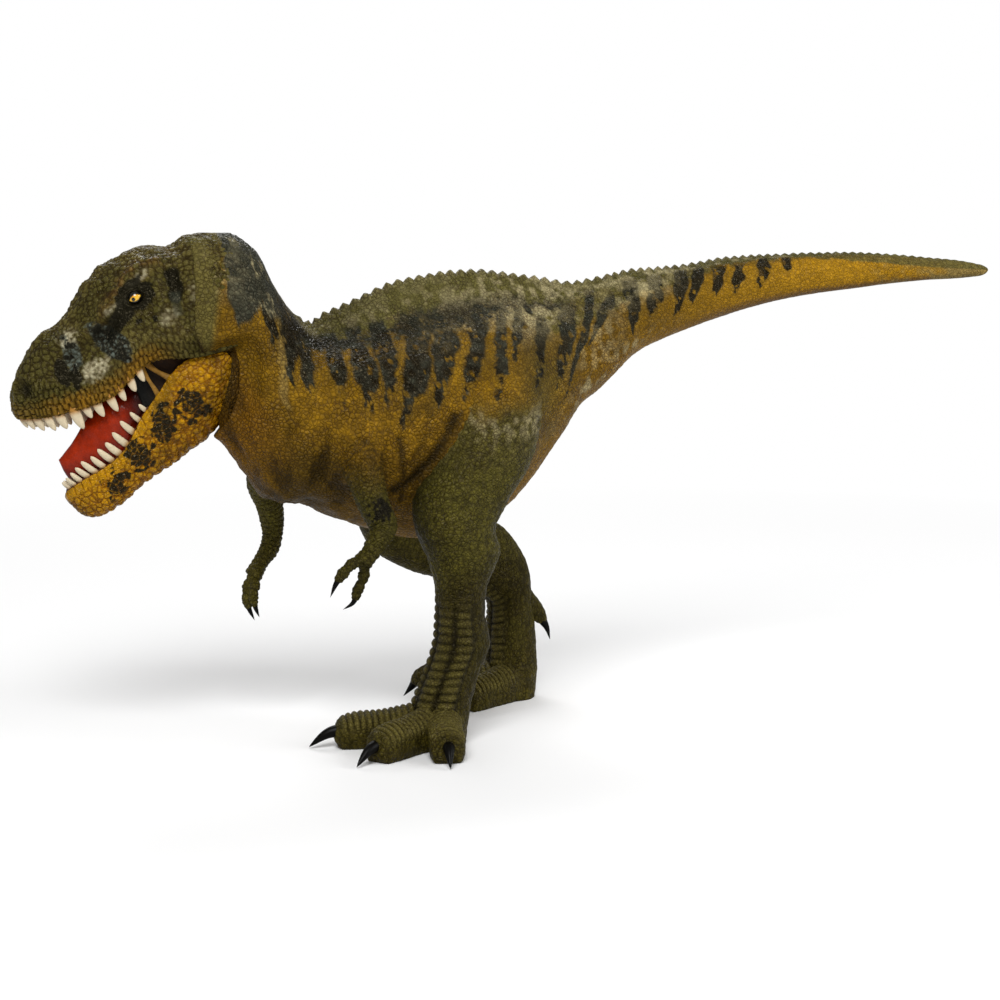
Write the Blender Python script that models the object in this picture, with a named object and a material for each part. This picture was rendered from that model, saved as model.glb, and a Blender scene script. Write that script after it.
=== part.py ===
"""Toy dinosaur figure: a moulded two-legged meat eater in mid stride, with a hinged lower jaw.

The figure faces -X and its left side is -Y. The ground is z = 0, and the hip is above the
point where the tables of places start. Tables are in shares of the sizes at the top. At the
end the whole figure is moved so that the middle of its base is at the origin.
"""

import math

import bmesh
import bpy
import numpy as np
from mathutils import Matrix, Vector

# Driving sizes in metres
HIP_HEIGHT = 0.095
BODY_LENGTH = 0.260
BODY_DEPTH = 0.082
BODY_WIDTH = 0.050
KEEL_HEIGHT = 0.0095
KEEL_WIDTH = 0.0055
TAIL_SWING = 0.030
HEAD_LENGTH = 0.058
HEAD_WIDTH = 0.029
ARM_LENGTH = 0.050
TOE_LENGTH = 0.037
TOE_WIDTH = 0.0105

# Pose of the head
HEAD_TURN = math.radians(22)
HEAD_PITCH = math.radians(16)

# Clearances between pieces
FIT_GAP = 0.00035
HINGE_GAP = 0.0005
FLANK_GAP = 0.00045
OVERRUN = 0.004

# Crest of small spikes along the back
SPIKE_HEIGHT = 0.0015
SPIKE_PITCH_BACK = 0.0037
SPIKE_PITCH_TAIL = 0.0030
CREST_HALF_WIDTH = 0.0014
CREST_SINK = 0.0022
CREST_LIFT = 0.0002

# Pegs that join the mouldings
NECK_PEG_RADIUS = 0.0060
NECK_PEG_LENGTH = 0.011
TAIL_PEG_RADIUS = 0.0055
TAIL_PEG_LENGTH = 0.011
LEG_PEG_RADIUS = 0.0048
LEG_PEG_LENGTH = 0.008
ARM_PEG_RADIUS = 0.0024
ARM_PEG_LENGTH = 0.0055
ARM_PEG_OUT = 0.0030

# Jaw hinge and mouth
PIN_RADIUS = 0.0015
HINGE_BLOCK_HALF_WIDTH = 0.0060
HINGE_BLOCK_RADIUS = 0.0050
JAW_POCKET_HALF_WIDTH = 0.0127
LUG_WALL = 0.0016
LIP_WALL = 0.0013
PALATE_RISE = 0.0042
VAULT_RISE = 0.0063
VAULT_HALF_WIDTH = 0.0045
MOUTH_FLOOR_DEPTH = 0.0040
GUM_WIDTH = 0.0015
GUM_HEIGHT = 0.0022
TOOTH_RADIUS = 0.0012
TOOTH_SHOW_UPPER = 0.0044
TOOTH_SHOW_LOWER = 0.0044
EYE_RADIUS = 0.0023
EYE_SINK = 0.0006

# How finely the curved skins are divided
TORSO_RINGS = 36
TAIL_RINGS = 26
SPINE_SIDES = 22
TAIL_SIDES = 14
HEAD_RINGS = 24
HEAD_SIDES = 22
JAW_RINGS = 16
JAW_SIDES = 16
LEG_RINGS = 20
LEG_SIDES = 14
TOE_SIDES = 10
ARM_RINGS = 10
ARM_SIDES = 10
FINGER_SIDES = 6
TONGUE_RINGS = 12
TONGUE_SIDES = 12
PEG_SIDES = 14
TOOTH_SIDES = 6
TEETH_PER_SIDE = 12

# Spine: middle place and lean (shares of BODY_LENGTH), top and bottom (shares of BODY_DEPTH
# above the hip), half width (share of half BODY_WIDTH), keel (share of KEEL_HEIGHT) and swing
# to the right, or to the left where negative (share of TAIL_SWING)
SPINE_SHARES = np.array((
    (-0.430, 0.030, 0.600, 0.040, 0.44, 0.00, 0.180),
    (-0.400, 0.036, 0.618, -0.015, 0.50, 0.00, 0.150),
    (-0.367, 0.042, 0.604, -0.040, 0.58, 0.05, 0.117),
    (-0.345, 0.050, 0.515, -0.088, 0.64, 0.08, 0.083),
    (-0.325, 0.058, 0.393, -0.150, 0.70, 0.12, 0.057),
    (-0.302, 0.054, 0.327, -0.270, 0.80, 0.25, 0.030),
    (-0.267, 0.035, 0.352, -0.306, 0.90, 0.50, 0.010),
    (-0.230, 0.023, 0.394, -0.365, 0.97, 0.75, 0.000),
    (-0.187, 0.019, 0.450, -0.421, 1.00, 0.95, 0.000),
    (-0.143, 0.015, 0.479, -0.455, 1.00, 1.00, 0.000),
    (-0.087, 0.008, 0.499, -0.450, 0.95, 1.00, 0.000),
    (-0.030, 0.006, 0.495, -0.375, 0.86, 0.90, 0.000),
    (0.025, 0.006, 0.474, -0.200, 0.72, 0.70, 0.000),
    (0.064, 0.012, 0.458, -0.045, 0.60, 0.55, -0.007),
    (0.108, 0.008, 0.478, 0.063, 0.49, 0.45, -0.033),
    (0.162, 0.008, 0.504, 0.198, 0.39, 0.38, -0.083),
    (0.215, 0.008, 0.520, 0.268, 0.33, 0.32, -0.143),
    (0.269, 0.008, 0.549, 0.324, 0.29, 0.28, -0.220),
    (0.337, 0.004, 0.565, 0.382, 0.24, 0.23, -0.330),
    (0.405, 0.004, 0.574, 0.418, 0.20, 0.18, -0.460),
    (0.472, 0.000, 0.574, 0.446, 0.16, 0.14, -0.600),
    (0.540, 0.000, 0.562, 0.468, 0.12, 0.09, -0.760),
    (0.595, 0.000, 0.547, 0.479, 0.08, 0.04, -0.893),
    (0.632, 0.000, 0.527, 0.490, 0.04, 0.00, -0.995),
))
HEAD_ANCHOR_SHARE = -0.345
NECK_SEAM_SHARE = -0.334
COLLAR_START_SHARE = -0.425
TAIL_SEAM_SHARE = 0.125
TAIL_TIP_SHARE = 0.632
CREST_START_SHARE = -0.318
CREST_END_SHARE = 0.618

# Legs: front x, z and back x, z (shares of HIP_HEIGHT), side place and half width (shares of
# BODY_WIDTH)
LEFT_LEG_SHARES = np.array((
    (-0.250, 1.270, -0.050, 1.270, 0.150, 0.08),
    (-0.330, 1.130, -0.045, 1.150, 0.290, 0.17),
    (-0.395, 0.980, -0.065, 1.000, 0.360, 0.21),
    (-0.450, 0.850, -0.110, 0.840, 0.410, 0.23),
    (-0.505, 0.745, -0.200, 0.735, 0.460, 0.22),
    (-0.505, 0.660, -0.252, 0.655, 0.490, 0.20),
    (-0.468, 0.570, -0.236, 0.590, 0.500, 0.185),
    (-0.442, 0.480, -0.280, 0.480, 0.495, 0.150),
    (-0.434, 0.390, -0.286, 0.390, 0.490, 0.145),
    (-0.442, 0.300, -0.266, 0.300, 0.485, 0.150),
    (-0.472, 0.215, -0.300, 0.225, 0.480, 0.148),
    (-0.510, 0.125, -0.336, 0.110, 0.480, 0.165),
    (-0.515, 0.045, -0.352, 0.035, 0.480, 0.175),
    (-0.510, 0.000, -0.356, 0.000, 0.480, 0.170),
))
RIGHT_LEG_SHARES = np.array((
    (-0.250, 1.270, -0.030, 1.270, 0.150, 0.08),
    (-0.345, 1.120, -0.010, 1.140, 0.290, 0.17),
    (-0.410, 0.970, -0.030, 0.980, 0.360, 0.21),
    (-0.460, 0.830, -0.060, 0.840, 0.410, 0.23),
    (-0.470, 0.670, -0.110, 0.740, 0.460, 0.22),
    (-0.410, 0.540, -0.110, 0.670, 0.490, 0.20),
    (-0.290, 0.462, -0.050, 0.635, 0.500, 0.180),
    (-0.150, 0.415, 0.020, 0.610, 0.495, 0.160),
    (-0.030, 0.370, 0.105, 0.550, 0.480, 0.148),
    (0.030, 0.325, 0.160, 0.455, 0.460, 0.148),
    (0.025, 0.250, 0.175, 0.315, 0.435, 0.142),
    (0.010, 0.155, 0.180, 0.185, 0.405, 0.148),
    (0.000, 0.060, 0.172, 0.070, 0.375, 0.165),
    (0.000, 0.000, 0.158, 0.000, 0.365, 0.165),
))
# Inner small toes: x, side place, z and radius along the toe (shares of HIP_HEIGHT, the side
# place a share of BODY_WIDTH)
LEFT_HALLUX_SHARES = np.array((
    (-0.395, 0.40, 0.225, 0.030),
    (-0.440, 0.34, 0.200, 0.030),
    (-0.462, 0.29, 0.176, 0.026),
    (-0.472, 0.27, 0.158, 0.018),
    (-0.500, 0.27, 0.132, 0.003),
))
RIGHT_HALLUX_SHARES = np.array((
    (0.130, 0.42, 0.350, 0.034),
    (0.174, 0.40, 0.300, 0.031),
    (0.203, 0.38, 0.258, 0.026),
    (0.219, 0.36, 0.228, 0.018),
    (0.235, 0.36, 0.181, 0.003),
))
HIP_PEG_SHARES = (-0.135, 1.000)

# Toes: place along, half width (share of half TOE_WIDTH), bottom and top (shares of TOE_WIDTH)
TOE_SHARES = np.array((
    (0.00, 0.90, 0.00, 1.15),
    (0.25, 1.00, 0.00, 1.02),
    (0.45, 0.93, 0.00, 0.92),
    (0.62, 0.98, 0.00, 0.90),
    (0.74, 0.88, 0.00, 0.82),
    (0.79, 0.60, 0.08, 0.74),
    (0.81, 0.36, 0.24, 0.68),
    (0.91, 0.25, 0.16, 0.50),
    (1.00, 0.04, 0.00, 0.10),
))
# Each toe: heading in degrees outwards from straight ahead, length (share of TOE_LENGTH) and
# side step of its root (share of TOE_WIDTH)
LEFT_TOES_SHARES = ((-16, 1.02, -0.15), (23, 1.00, 0.05), (66, 0.82, 0.15))
RIGHT_TOES_SHARES = ((-20, 0.86, -0.28), (14, 0.86, 0.00), (56, 0.78, 0.15))

# Arms: place from the shoulder in x, y (outwards), z and radius, shares of ARM_LENGTH
LEFT_ARM_SHARES = np.array((
    (0.060, -0.150, -0.020, 0.110),
    (0.063, -0.020, -0.130, 0.115),
    (0.065, 0.050, -0.240, 0.108),
    (0.078, 0.100, -0.360, 0.095),
    (0.095, 0.135, -0.450, 0.086),
    (0.137, 0.150, -0.560, 0.078),
    (0.092, 0.160, -0.639, 0.064),
    (0.042, 0.160, -0.708, 0.050),
    (0.008, 0.150, -0.750, 0.052),
))
RIGHT_ARM_SHARES = np.array((
    (-0.115, -0.180, 0.060, 0.100),
    (-0.115, -0.050, -0.030, 0.105),
    (-0.100, 0.020, -0.120, 0.095),
    (-0.047, 0.060, -0.228, 0.082),
    (-0.011, 0.100, -0.343, 0.072),
    (0.000, 0.120, -0.440, 0.061),
    (-0.022, 0.120, -0.525, 0.058),
    (-0.085, 0.100, -0.596, 0.047),
    (-0.145, 0.080, -0.674, 0.052),
))
# Fingers: steps from the end of the arm in x, y (outwards), z and radius, shares of ARM_LENGTH
LEFT_FINGERS_SHARES = (
    ((0.020, 0.000, 0.020, 0.030), (-0.073, 0.020, 0.001, 0.030), (-0.138, 0.040, -0.042, 0.030),
     (-0.181, 0.040, -0.095, 0.026), (-0.216, 0.030, -0.176, 0.005)),
    ((0.000, 0.000, 0.020, 0.030), (0.021, -0.030, -0.078, 0.030), (-0.009, -0.050, -0.166, 0.028),
     (-0.033, -0.060, -0.234, 0.028), (-0.097, -0.060, -0.269, 0.005)),
)
RIGHT_FINGERS_SHARES = (
    ((0.010, 0.000, 0.020, 0.034), (-0.034, 0.000, -0.067, 0.034), (-0.042, 0.000, -0.129, 0.031),
     (-0.036, 0.000, -0.184, 0.028), (0.004, 0.000, -0.278, 0.005)),
    ((0.010, -0.020, 0.020, 0.030), (-0.020, -0.060, -0.070, 0.030), (-0.030, -0.070, -0.130, 0.026),
     (-0.020, -0.070, -0.180, 0.022), (0.010, -0.060, -0.250, 0.005)),
)
# Shoulders: place along the body and rise above the hip (share of BODY_DEPTH)
LEFT_SHOULDER_SHARES = (-0.262, -0.02)
RIGHT_SHOULDER_SHARES = (-0.275, -0.19)

# Skull: place forward of the hinge, top and lip (shares of HEAD_LENGTH above the hinge) and
# half width (share of half HEAD_WIDTH)
SKULL_SHARES = np.array((
    (-0.300, 0.480, 0.170, 0.56),
    (-0.220, 0.590, 0.110, 0.84),
    (-0.130, 0.638, 0.080, 0.97),
    (-0.035, 0.636, 0.075, 1.00),
    (0.070, 0.628, 0.080, 1.00),
    (0.155, 0.655, 0.100, 0.97),
    (0.240, 0.652, 0.118, 0.91),
    (0.330, 0.640, 0.108, 0.85),
    (0.415, 0.618, 0.060, 0.78),
    (0.500, 0.566, 0.014, 0.72),
    (0.585, 0.476, 0.000, 0.68),
    (0.670, 0.414, -0.005, 0.65),
    (0.760, 0.390, -0.004, 0.61),
    (0.845, 0.334, 0.004, 0.57),
    (0.915, 0.266, 0.014, 0.49),
    (0.968, 0.186, 0.026, 0.39),
    (1.004, 0.098, 0.040, 0.22),
))
# Lower jaw: lip x, z and underside x, z (shares of HEAD_LENGTH), half width (share of half
# HEAD_WIDTH)
JAW_SHARES = np.array((
    (-0.055, 0.055, -0.088, -0.010, 0.76),
    (0.045, 0.068, -0.044, -0.140, 0.84),
    (0.140, 0.060, 0.035, -0.235, 0.85),
    (0.215, 0.026, 0.140, -0.305, 0.80),
    (0.300, -0.036, 0.240, -0.350, 0.72),
    (0.412, -0.128, 0.360, -0.395, 0.63),
    (0.545, -0.260, 0.515, -0.447, 0.54),
    (0.665, -0.315, 0.655, -0.512, 0.48),
    (0.760, -0.340, 0.755, -0.540, 0.42),
    (0.845, -0.366, 0.838, -0.508, 0.36),
    (0.893, -0.385, 0.882, -0.440, 0.22),
))
# Tongue: place forward, top above the hinge, lift above the mouth floor (shares of
# HEAD_LENGTH) and half width (share of half HEAD_WIDTH)
TONGUE_SHARES = np.array((
    (0.225, 0.020, 0.000, 0.24),
    (0.290, 0.050, 0.000, 0.30),
    (0.370, 0.040, 0.000, 0.32),
    (0.470, 0.004, 0.000, 0.30),
    (0.570, -0.022, 0.000, 0.27),
    (0.650, -0.072, 0.000, 0.23),
    (0.730, -0.125, 0.016, 0.19),
    (0.790, -0.178, 0.060, 0.14),
    (0.840, -0.196, 0.095, 0.07),
))
# Swellings and hollows of the skull's sides: forward, up, radius (shares of HEAD_LENGTH) and
# height (share of half HEAD_WIDTH)
SKULL_RELIEF_SHARES = (
    (0.210, 0.545, 0.095, 0.13),
    (0.255, 0.445, 0.060, -0.09),
    (0.440, 0.340, 0.085, -0.13),
    (0.115, 0.220, 0.120, 0.07),
    (0.690, 0.190, 0.100, 0.04),
)
# Side outlines of the room cut for the jaw: forward and up (shares of HEAD_LENGTH)
JAW_ROOM_SHARES = np.array((
    (0.370, 0.075), (-0.100, 0.075), (-0.096, -0.013), (-0.052, -0.146), (0.026, -0.246),
    (0.133, -0.319), (0.240, -0.362), (0.370, -0.425), (0.600, -0.425), (0.600, -0.020),
    (0.500, -0.002), (0.440, 0.030), (0.400, 0.055),
))
JAW_POCKET_SHARES = np.array((
    (0.218, 0.112), (0.170, 0.124), (0.100, 0.124), (0.020, 0.112), (-0.070, 0.090),
    (-0.108, 0.050), (-0.108, -0.013), (0.218, -0.013),
))
EYE_SHARES = (0.270, 0.430)
HINGE_FROM_NECK_SHARES = (-0.1155, 0.0585, -0.046)
PALATE_START_SHARE = 0.15
MOUTH_START_SHARE = 0.205
SLOT_FRONT_SHARE = 0.215
TEETH_START_UPPER_SHARE = 0.34
TEETH_START_LOWER_SHARE = 0.37
# Shape of a tooth: place along it, radius (share of TOOTH_RADIUS) and backward lean
TOOTH_SHARES = ((0.0, 0.80, 0.0), (0.45, 1.00, 0.01), (0.75, 0.70, 0.05), (1.0, 0.14, 0.13))
# Length of each tooth from the back of the mouth to the front, share of the longest
UPPER_TOOTH_SHARES = np.array((0.50, 0.52, 0.40, 0.95, 0.72, 0.56, 1.00, 0.80, 0.78, 0.72, 0.62,
                               0.72))
LOWER_TOOTH_SHARES = np.array((0.45, 0.66, 0.86, 1.00, 0.88, 0.98, 0.84, 0.90, 0.78, 0.70, 0.62,
                               0.56))
EYE_OUT_SHARE = 0.80
VAULT_CROWN_SHARE = 0.80
SHOULDER_OUT_SHARE = 0.92
SWING_STEP_SHARE = 0.010

# Flatness of sections at their lower side, and other forms without a size
ROUND = 1.0
SKULL_CUT = 0.45
SOLE_CUT = 0.60
JAW_CUT = 0.40
TONGUE_CUT = 0.30
TOP_CROWDING = 0.45
CREST_FADE = 0.35
TUBE_TURN = (0.2, 1.0, 0.3)

for old in list(bpy.data.objects):
    bpy.data.objects.remove(old, do_unlink=True)

SCENE = bpy.context.scene
FIGURE = bpy.data.objects.new("figure", None)
SCENE.collection.objects.link(FIGURE)


def finish_material(name, colour, roughness):
    """A plain surface for one kind of piece."""
    material = bpy.data.materials.new(name)
    material.use_nodes = True
    shader = material.node_tree.nodes["Principled BSDF"]
    shader.inputs["Base Color"].default_value = (*colour, 1.0)
    shader.inputs["Roughness"].default_value = roughness
    shader.inputs["Metallic"].default_value = 0.0
    return material


HIDE = finish_material("ochre_olive_hide", (0.26, 0.19, 0.06), 0.55)
TAIL_HIDE = finish_material("tail_hide", (0.28, 0.19, 0.06), 0.55)
SKULL_HIDE = finish_material("skull_hide", (0.13, 0.12, 0.05), 0.55)
JAW_HIDE = finish_material("jaw_hide", (0.40, 0.24, 0.05), 0.50)
LIMB_HIDE = finish_material("limb_hide", (0.10, 0.09, 0.04), 0.55)
TOOTH_IVORY = finish_material("tooth_ivory", (0.78, 0.74, 0.62), 0.35)
TONGUE_RED = finish_material("tongue_red", (0.50, 0.03, 0.02), 0.25)
PIN_STEEL = finish_material("pin_steel", (0.55, 0.55, 0.55), 0.35)
PIN_STEEL.node_tree.nodes["Principled BSDF"].inputs["Metallic"].default_value = 1.0


def resample(table, count, first=None, last=None):
    """Rows of a table read smoothly at even steps along its first column."""
    place = table[:, 0]
    first = place[0] if first is None else first
    last = place[-1] if last is None else last
    return read_table(table, np.linspace(first, last, count))


def read_table(table, at):
    """Rows of a table at the given places of its first column, on a smooth curve."""
    at = np.atleast_1d(np.asarray(at, dtype=float))
    place = table[:, 0]
    slope = np.gradient(table, place, axis=0)
    left = np.clip(np.searchsorted(place, at) - 1, 0, len(place) - 2)
    span = place[left + 1] - place[left]
    t = ((at - place[left]) / span)[:, None]
    span = span[:, None]
    low, high = table[left], table[left + 1]
    rise_low, rise_high = slope[left] * span, slope[left + 1] * span
    return ((1 + 2 * t) * (1 - t) ** 2 * low + t * (1 - t) ** 2 * rise_low
            + t * t * (3 - 2 * t) * high + t * t * (t - 1) * rise_high)


def along_rows(points, count):
    """Points of a smooth curve through the rows, evenly spaced by their running length."""
    steps = np.linalg.norm(np.diff(points[:, :3], axis=0), axis=1)
    running = np.concatenate(([0.0], np.cumsum(steps)))
    table = np.column_stack((running, points))
    return resample(table, count)[:, 1:]


def ring(top, bottom, side, half_width, sides, cut=ROUND):
    """A closed section: an ellipse between top and bottom, cut flat at its bottom end."""
    angle = np.linspace(0, 2 * math.pi, sides, endpoint=False)
    rise = np.maximum(np.cos(angle), -cut)
    share = ((rise + cut) / (1 + cut))[:, None]
    across = np.sin(angle)[:, None]
    return bottom + (top - bottom) * share + np.asarray(side) * (half_width * across)


def unit(vector):
    """The vector at length one."""
    vector = np.asarray(vector, dtype=float)
    return vector / np.linalg.norm(vector)


def add_object(name, mesh, material, parent, helper):
    """Put a mesh in the scene under its parent, shaded smooth with sharp creases kept."""
    mesh.materials.append(material)
    mesh.shade_smooth()
    mesh.set_sharp_from_angle(angle=math.radians(50))
    solid = bpy.data.objects.new(name, mesh)
    SCENE.collection.objects.link(solid)
    solid.parent = parent
    if helper:
        solid.hide_render = True
        solid.display_type = "WIRE"
    return solid


def skin(name, rings, material, parent=FIGURE, helper=False):
    """A closed solid through a list of sections that have the same number of points."""
    rings = np.asarray(rings)
    count, sides = rings.shape[:2]
    index = np.arange(count * sides).reshape(count, sides)
    turned = np.roll(index, -1, axis=1)
    quads = np.stack((index[:-1], turned[:-1], turned[1:], index[1:]), axis=-1).reshape(-1, 4)
    faces = [tuple(quad) for quad in quads.tolist()]
    faces.append(tuple(index[0].tolist()))
    faces.append(tuple(index[-1].tolist()))
    mesh = bpy.data.meshes.new(name)
    mesh.from_pydata(rings.reshape(-1, 3).tolist(), [], faces)
    shape = bmesh.new()
    shape.from_mesh(mesh)
    bmesh.ops.triangulate(shape, faces=shape.faces)
    bmesh.ops.recalc_face_normals(shape, faces=shape.faces)
    if shape.calc_volume(signed=True) < 0:
        bmesh.ops.reverse_faces(shape, faces=shape.faces)
    shape.to_mesh(mesh)
    shape.free()
    return add_object(name, mesh, material, parent, helper)


def tube(name, path, radii, sides, material, parent=FIGURE, helper=False):
    """A round limb along a path, with a radius at each point."""
    path = np.asarray(path, dtype=float)
    heading = np.gradient(path, axis=0)
    rings = []
    across = unit(np.cross(heading[0], TUBE_TURN))
    for point, ahead, radius in zip(path, heading, radii):
        ahead = unit(ahead)
        across = unit(across - ahead * np.dot(across, ahead))
        other = np.cross(ahead, across)
        rings.append(ring(point + across * radius, point - across * radius, other, radius, sides))
    return skin(name, rings, material, parent, helper)


def peg(name, start, end, radius, parent=FIGURE):
    """A round bar between two points, used as a spigot or as the cutter of its socket."""
    path = (np.asarray(start), np.asarray(end))
    return tube(name, path, (radius, radius), PEG_SIDES, LIMB_HIDE, parent, helper=True)


def combine(solid, other, operation):
    """Join another solid to this one, or cut it out."""
    modifier = solid.modifiers.new(other.name, "BOOLEAN")
    modifier.operation = operation
    modifier.solver = "EXACT"
    modifier.object = other


def combine_all(solid, others, operation):
    """Join a whole set of small solids to this one in one step."""
    group = bpy.data.collections.new(solid.name + "_" + others[0].name)
    SCENE.collection.children.link(group)
    for other in others:
        SCENE.collection.objects.unlink(other)
        group.objects.link(other)
    modifier = solid.modifiers.new(group.name, "BOOLEAN")
    modifier.operation = operation
    modifier.solver = "EXACT"
    modifier.operand_type = "COLLECTION"
    modifier.collection = group


# Spine

def spine_frame(places):
    """Top, bottom, side direction, half width and keel of the body at shares of its length."""
    rows = read_table(SPINE_SHARES, places)
    middle = rows[:, 0] * BODY_LENGTH
    lean = rows[:, 1] * BODY_LENGTH / 2
    swing = rows[:, 6] * TAIL_SWING
    top = np.column_stack((middle + lean, swing, HIP_HEIGHT + rows[:, 2] * BODY_DEPTH))
    bottom = np.column_stack((middle - lean, swing, HIP_HEIGHT + rows[:, 3] * BODY_DEPTH))
    step = SWING_STEP_SHARE
    later = read_table(SPINE_SHARES, np.asarray(places) + step)
    earlier = read_table(SPINE_SHARES, np.asarray(places) - step)
    run = (later[:, 0] - earlier[:, 0]) * BODY_LENGTH
    drift = (later[:, 6] - earlier[:, 6]) * TAIL_SWING
    side = np.column_stack((-drift, run, np.zeros_like(run)))
    side /= np.linalg.norm(side, axis=1)[:, None]
    return top, bottom, side, rows[:, 4] * BODY_WIDTH / 2, rows[:, 5] * KEEL_HEIGHT


def body_rings(places, sides, grow=0.0):
    """Sections of the body: an oval flank with a narrow keel along its top."""
    top, bottom, side, half_width, keel = spine_frame(places)
    even = np.linspace(0, 2 * math.pi, sides, endpoint=False)
    angle = even - TOP_CROWDING * np.sin(even)
    rings = []
    for high, low, across, half, rise in zip(top, bottom, side, half_width, keel):
        axis = unit(high - low)
        flank_top = high - axis * rise
        centre = (flank_top + low) / 2
        reach = np.linalg.norm(flank_top - low) / 2 + grow
        out = (half + grow) * np.sin(angle)
        up = reach * np.cos(angle)
        ridge = rise * np.exp(-(out / KEEL_WIDTH) ** 2) * (np.cos(angle) > 0)
        rings.append(centre + axis * (up + ridge)[:, None] + across * out[:, None])
    return rings


def crest(name, first, last, pitch, parent=FIGURE):
    """A row of small spikes along the back between two places, as one saw-edged blade."""
    count = max(2, round((last - first) * BODY_LENGTH / pitch))
    places = np.linspace(first, last, 2 * count + 1)
    top, bottom, side, half_width, keel = spine_frame(places)
    axis = (top - bottom) / np.linalg.norm(top - bottom, axis=1)[:, None]
    fade = np.sin(np.linspace(0, math.pi, 2 * count + 1)) ** CREST_FADE
    height = np.where(np.arange(2 * count + 1) % 2 == 1, SPIKE_HEIGHT, 0.0) * fade
    taper = np.minimum(1.0, half_width / (2 * CREST_HALF_WIDTH))
    width = side * (CREST_HALF_WIDTH * taper)[:, None]
    root = top - axis * (CREST_SINK * taper)[:, None]
    peak = top + axis * (height * taper + CREST_LIFT)[:, None]
    rings = np.stack((root - width, root + width, peak), axis=1)
    return skin(name, rings, HIDE, parent, helper=True)


def spine_middle(place):
    """Middle point of the body's section at one place."""
    top, bottom, _, _, _ = spine_frame([place])
    return (top[0] + bottom[0]) / 2


def spine_heading(place):
    """Direction of the body towards the tail at one place."""
    step = SPIKE_PITCH_TAIL / BODY_LENGTH
    return unit(spine_middle(place + step) - spine_middle(place - step))


gap_share = FIT_GAP / BODY_LENGTH
torso_places = np.linspace(NECK_SEAM_SHARE + gap_share, TAIL_SEAM_SHARE, TORSO_RINGS)
torso = skin("torso", body_rings(torso_places, SPINE_SIDES), HIDE)
torso_crest_end = TAIL_SEAM_SHARE - 2 * gap_share
combine(torso, crest("torso_crest", CREST_START_SHARE, torso_crest_end, SPIKE_PITCH_BACK), "UNION")
tail_places = np.linspace(TAIL_SEAM_SHARE + gap_share, TAIL_TIP_SHARE, TAIL_RINGS)
tail = skin("tail", body_rings(tail_places, TAIL_SIDES), TAIL_HIDE)
tail_crest_start = TAIL_SEAM_SHARE + 2 * gap_share
combine(tail, crest("tail_crest", tail_crest_start, CREST_END_SHARE, SPIKE_PITCH_TAIL), "UNION")

tail_root = spine_middle(TAIL_SEAM_SHARE)
tail_ahead = -spine_heading(TAIL_SEAM_SHARE)
combine(tail, peg("tail_peg", tail_root - tail_ahead * OVERRUN,
                  tail_root + tail_ahead * TAIL_PEG_LENGTH, TAIL_PEG_RADIUS), "UNION")
combine(torso, peg("tail_socket", tail_root - tail_ahead * OVERRUN,
                   tail_root + tail_ahead * (TAIL_PEG_LENGTH + FIT_GAP),
                   TAIL_PEG_RADIUS + FIT_GAP), "DIFFERENCE")

# Head frame: X forward, Y to the figure's left, Z up, with its origin on the jaw's hinge axis

neck_root = spine_middle(NECK_SEAM_SHARE)
neck_ahead = -spine_heading(NECK_SEAM_SHARE)
hinge_point = spine_middle(HEAD_ANCHOR_SHARE) + np.array(HINGE_FROM_NECK_SHARES) * HEAD_LENGTH
head_turned = Matrix.Rotation(math.pi - HEAD_TURN, 4, "Z") @ Matrix.Rotation(HEAD_PITCH, 4, "Y")
head_matrix = Matrix.Translation(Vector(hinge_point)) @ head_turned
HEAD = bpy.data.objects.new("head_place", None)
JAW = bpy.data.objects.new("jaw_hinge_axis", None)
for empty in (HEAD, JAW):
    SCENE.collection.objects.link(empty)
    empty.parent = FIGURE
    empty.matrix_local = head_matrix
SIDE = np.array((0.0, 1.0, 0.0))


def head_point(forward, up, out=0.0):
    """A point of the head frame from shares of the head's length and a side distance."""
    return np.array((forward * HEAD_LENGTH, out, up * HEAD_LENGTH))


def skull_rings():
    """Sections of the skull from its back to the snout, with brow, eye hollow and cheek."""
    rows = resample(SKULL_SHARES, HEAD_RINGS)
    rings = []
    for forward, top, lip, half in rows:
        section = ring(head_point(forward, top), head_point(forward, lip), SIDE,
                       half * HEAD_WIDTH / 2, HEAD_SIDES, SKULL_CUT)
        weight = np.abs(section[:, 1]) / (half * HEAD_WIDTH / 2)
        for centre, height, radius, amount in SKULL_RELIEF_SHARES:
            far = ((section[:, 0] / HEAD_LENGTH - centre) ** 2
                   + (section[:, 2] / HEAD_LENGTH - height) ** 2) / radius ** 2
            swell = amount * HEAD_WIDTH / 2 * np.exp(-far) * weight
            section[:, 1] += np.sign(section[:, 1]) * swell
        rings.append(section)
    return rings


def mouth_outline(table, wall):
    """Plan outline of a row of teeth: the piece's outline moved inwards by a wall."""
    rows = resample(table, 4 * len(table))
    forward = rows[:, 0] * HEAD_LENGTH
    half = rows[:, -1] * HEAD_WIDTH / 2
    run = np.gradient(forward)
    drift = np.gradient(half)
    length = np.hypot(run, drift)
    return forward + drift / length * wall, half - run / length * wall


def channel_plan(table, start_share):
    """Every third point of the plan outline of the hollow behind a lip, up to its front end."""
    forward, half = mouth_outline(table, LIP_WALL)
    keep = (forward > start_share * HEAD_LENGTH) & (half > GUM_WIDTH)
    forward, half = forward[keep], half[keep]
    rows = np.unique(np.append(np.arange(0, len(forward), 3), len(forward) - 1))
    return forward[rows], half[rows]


def lip_height(table, forward):
    """Height of a piece's lip edge at distances forward of the hinge."""
    rows = resample(table, 8 * len(table))
    column = 2 if table is SKULL_SHARES else 1
    return np.interp(forward, rows[:, 0] * HEAD_LENGTH, rows[:, column] * HEAD_LENGTH)


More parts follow.
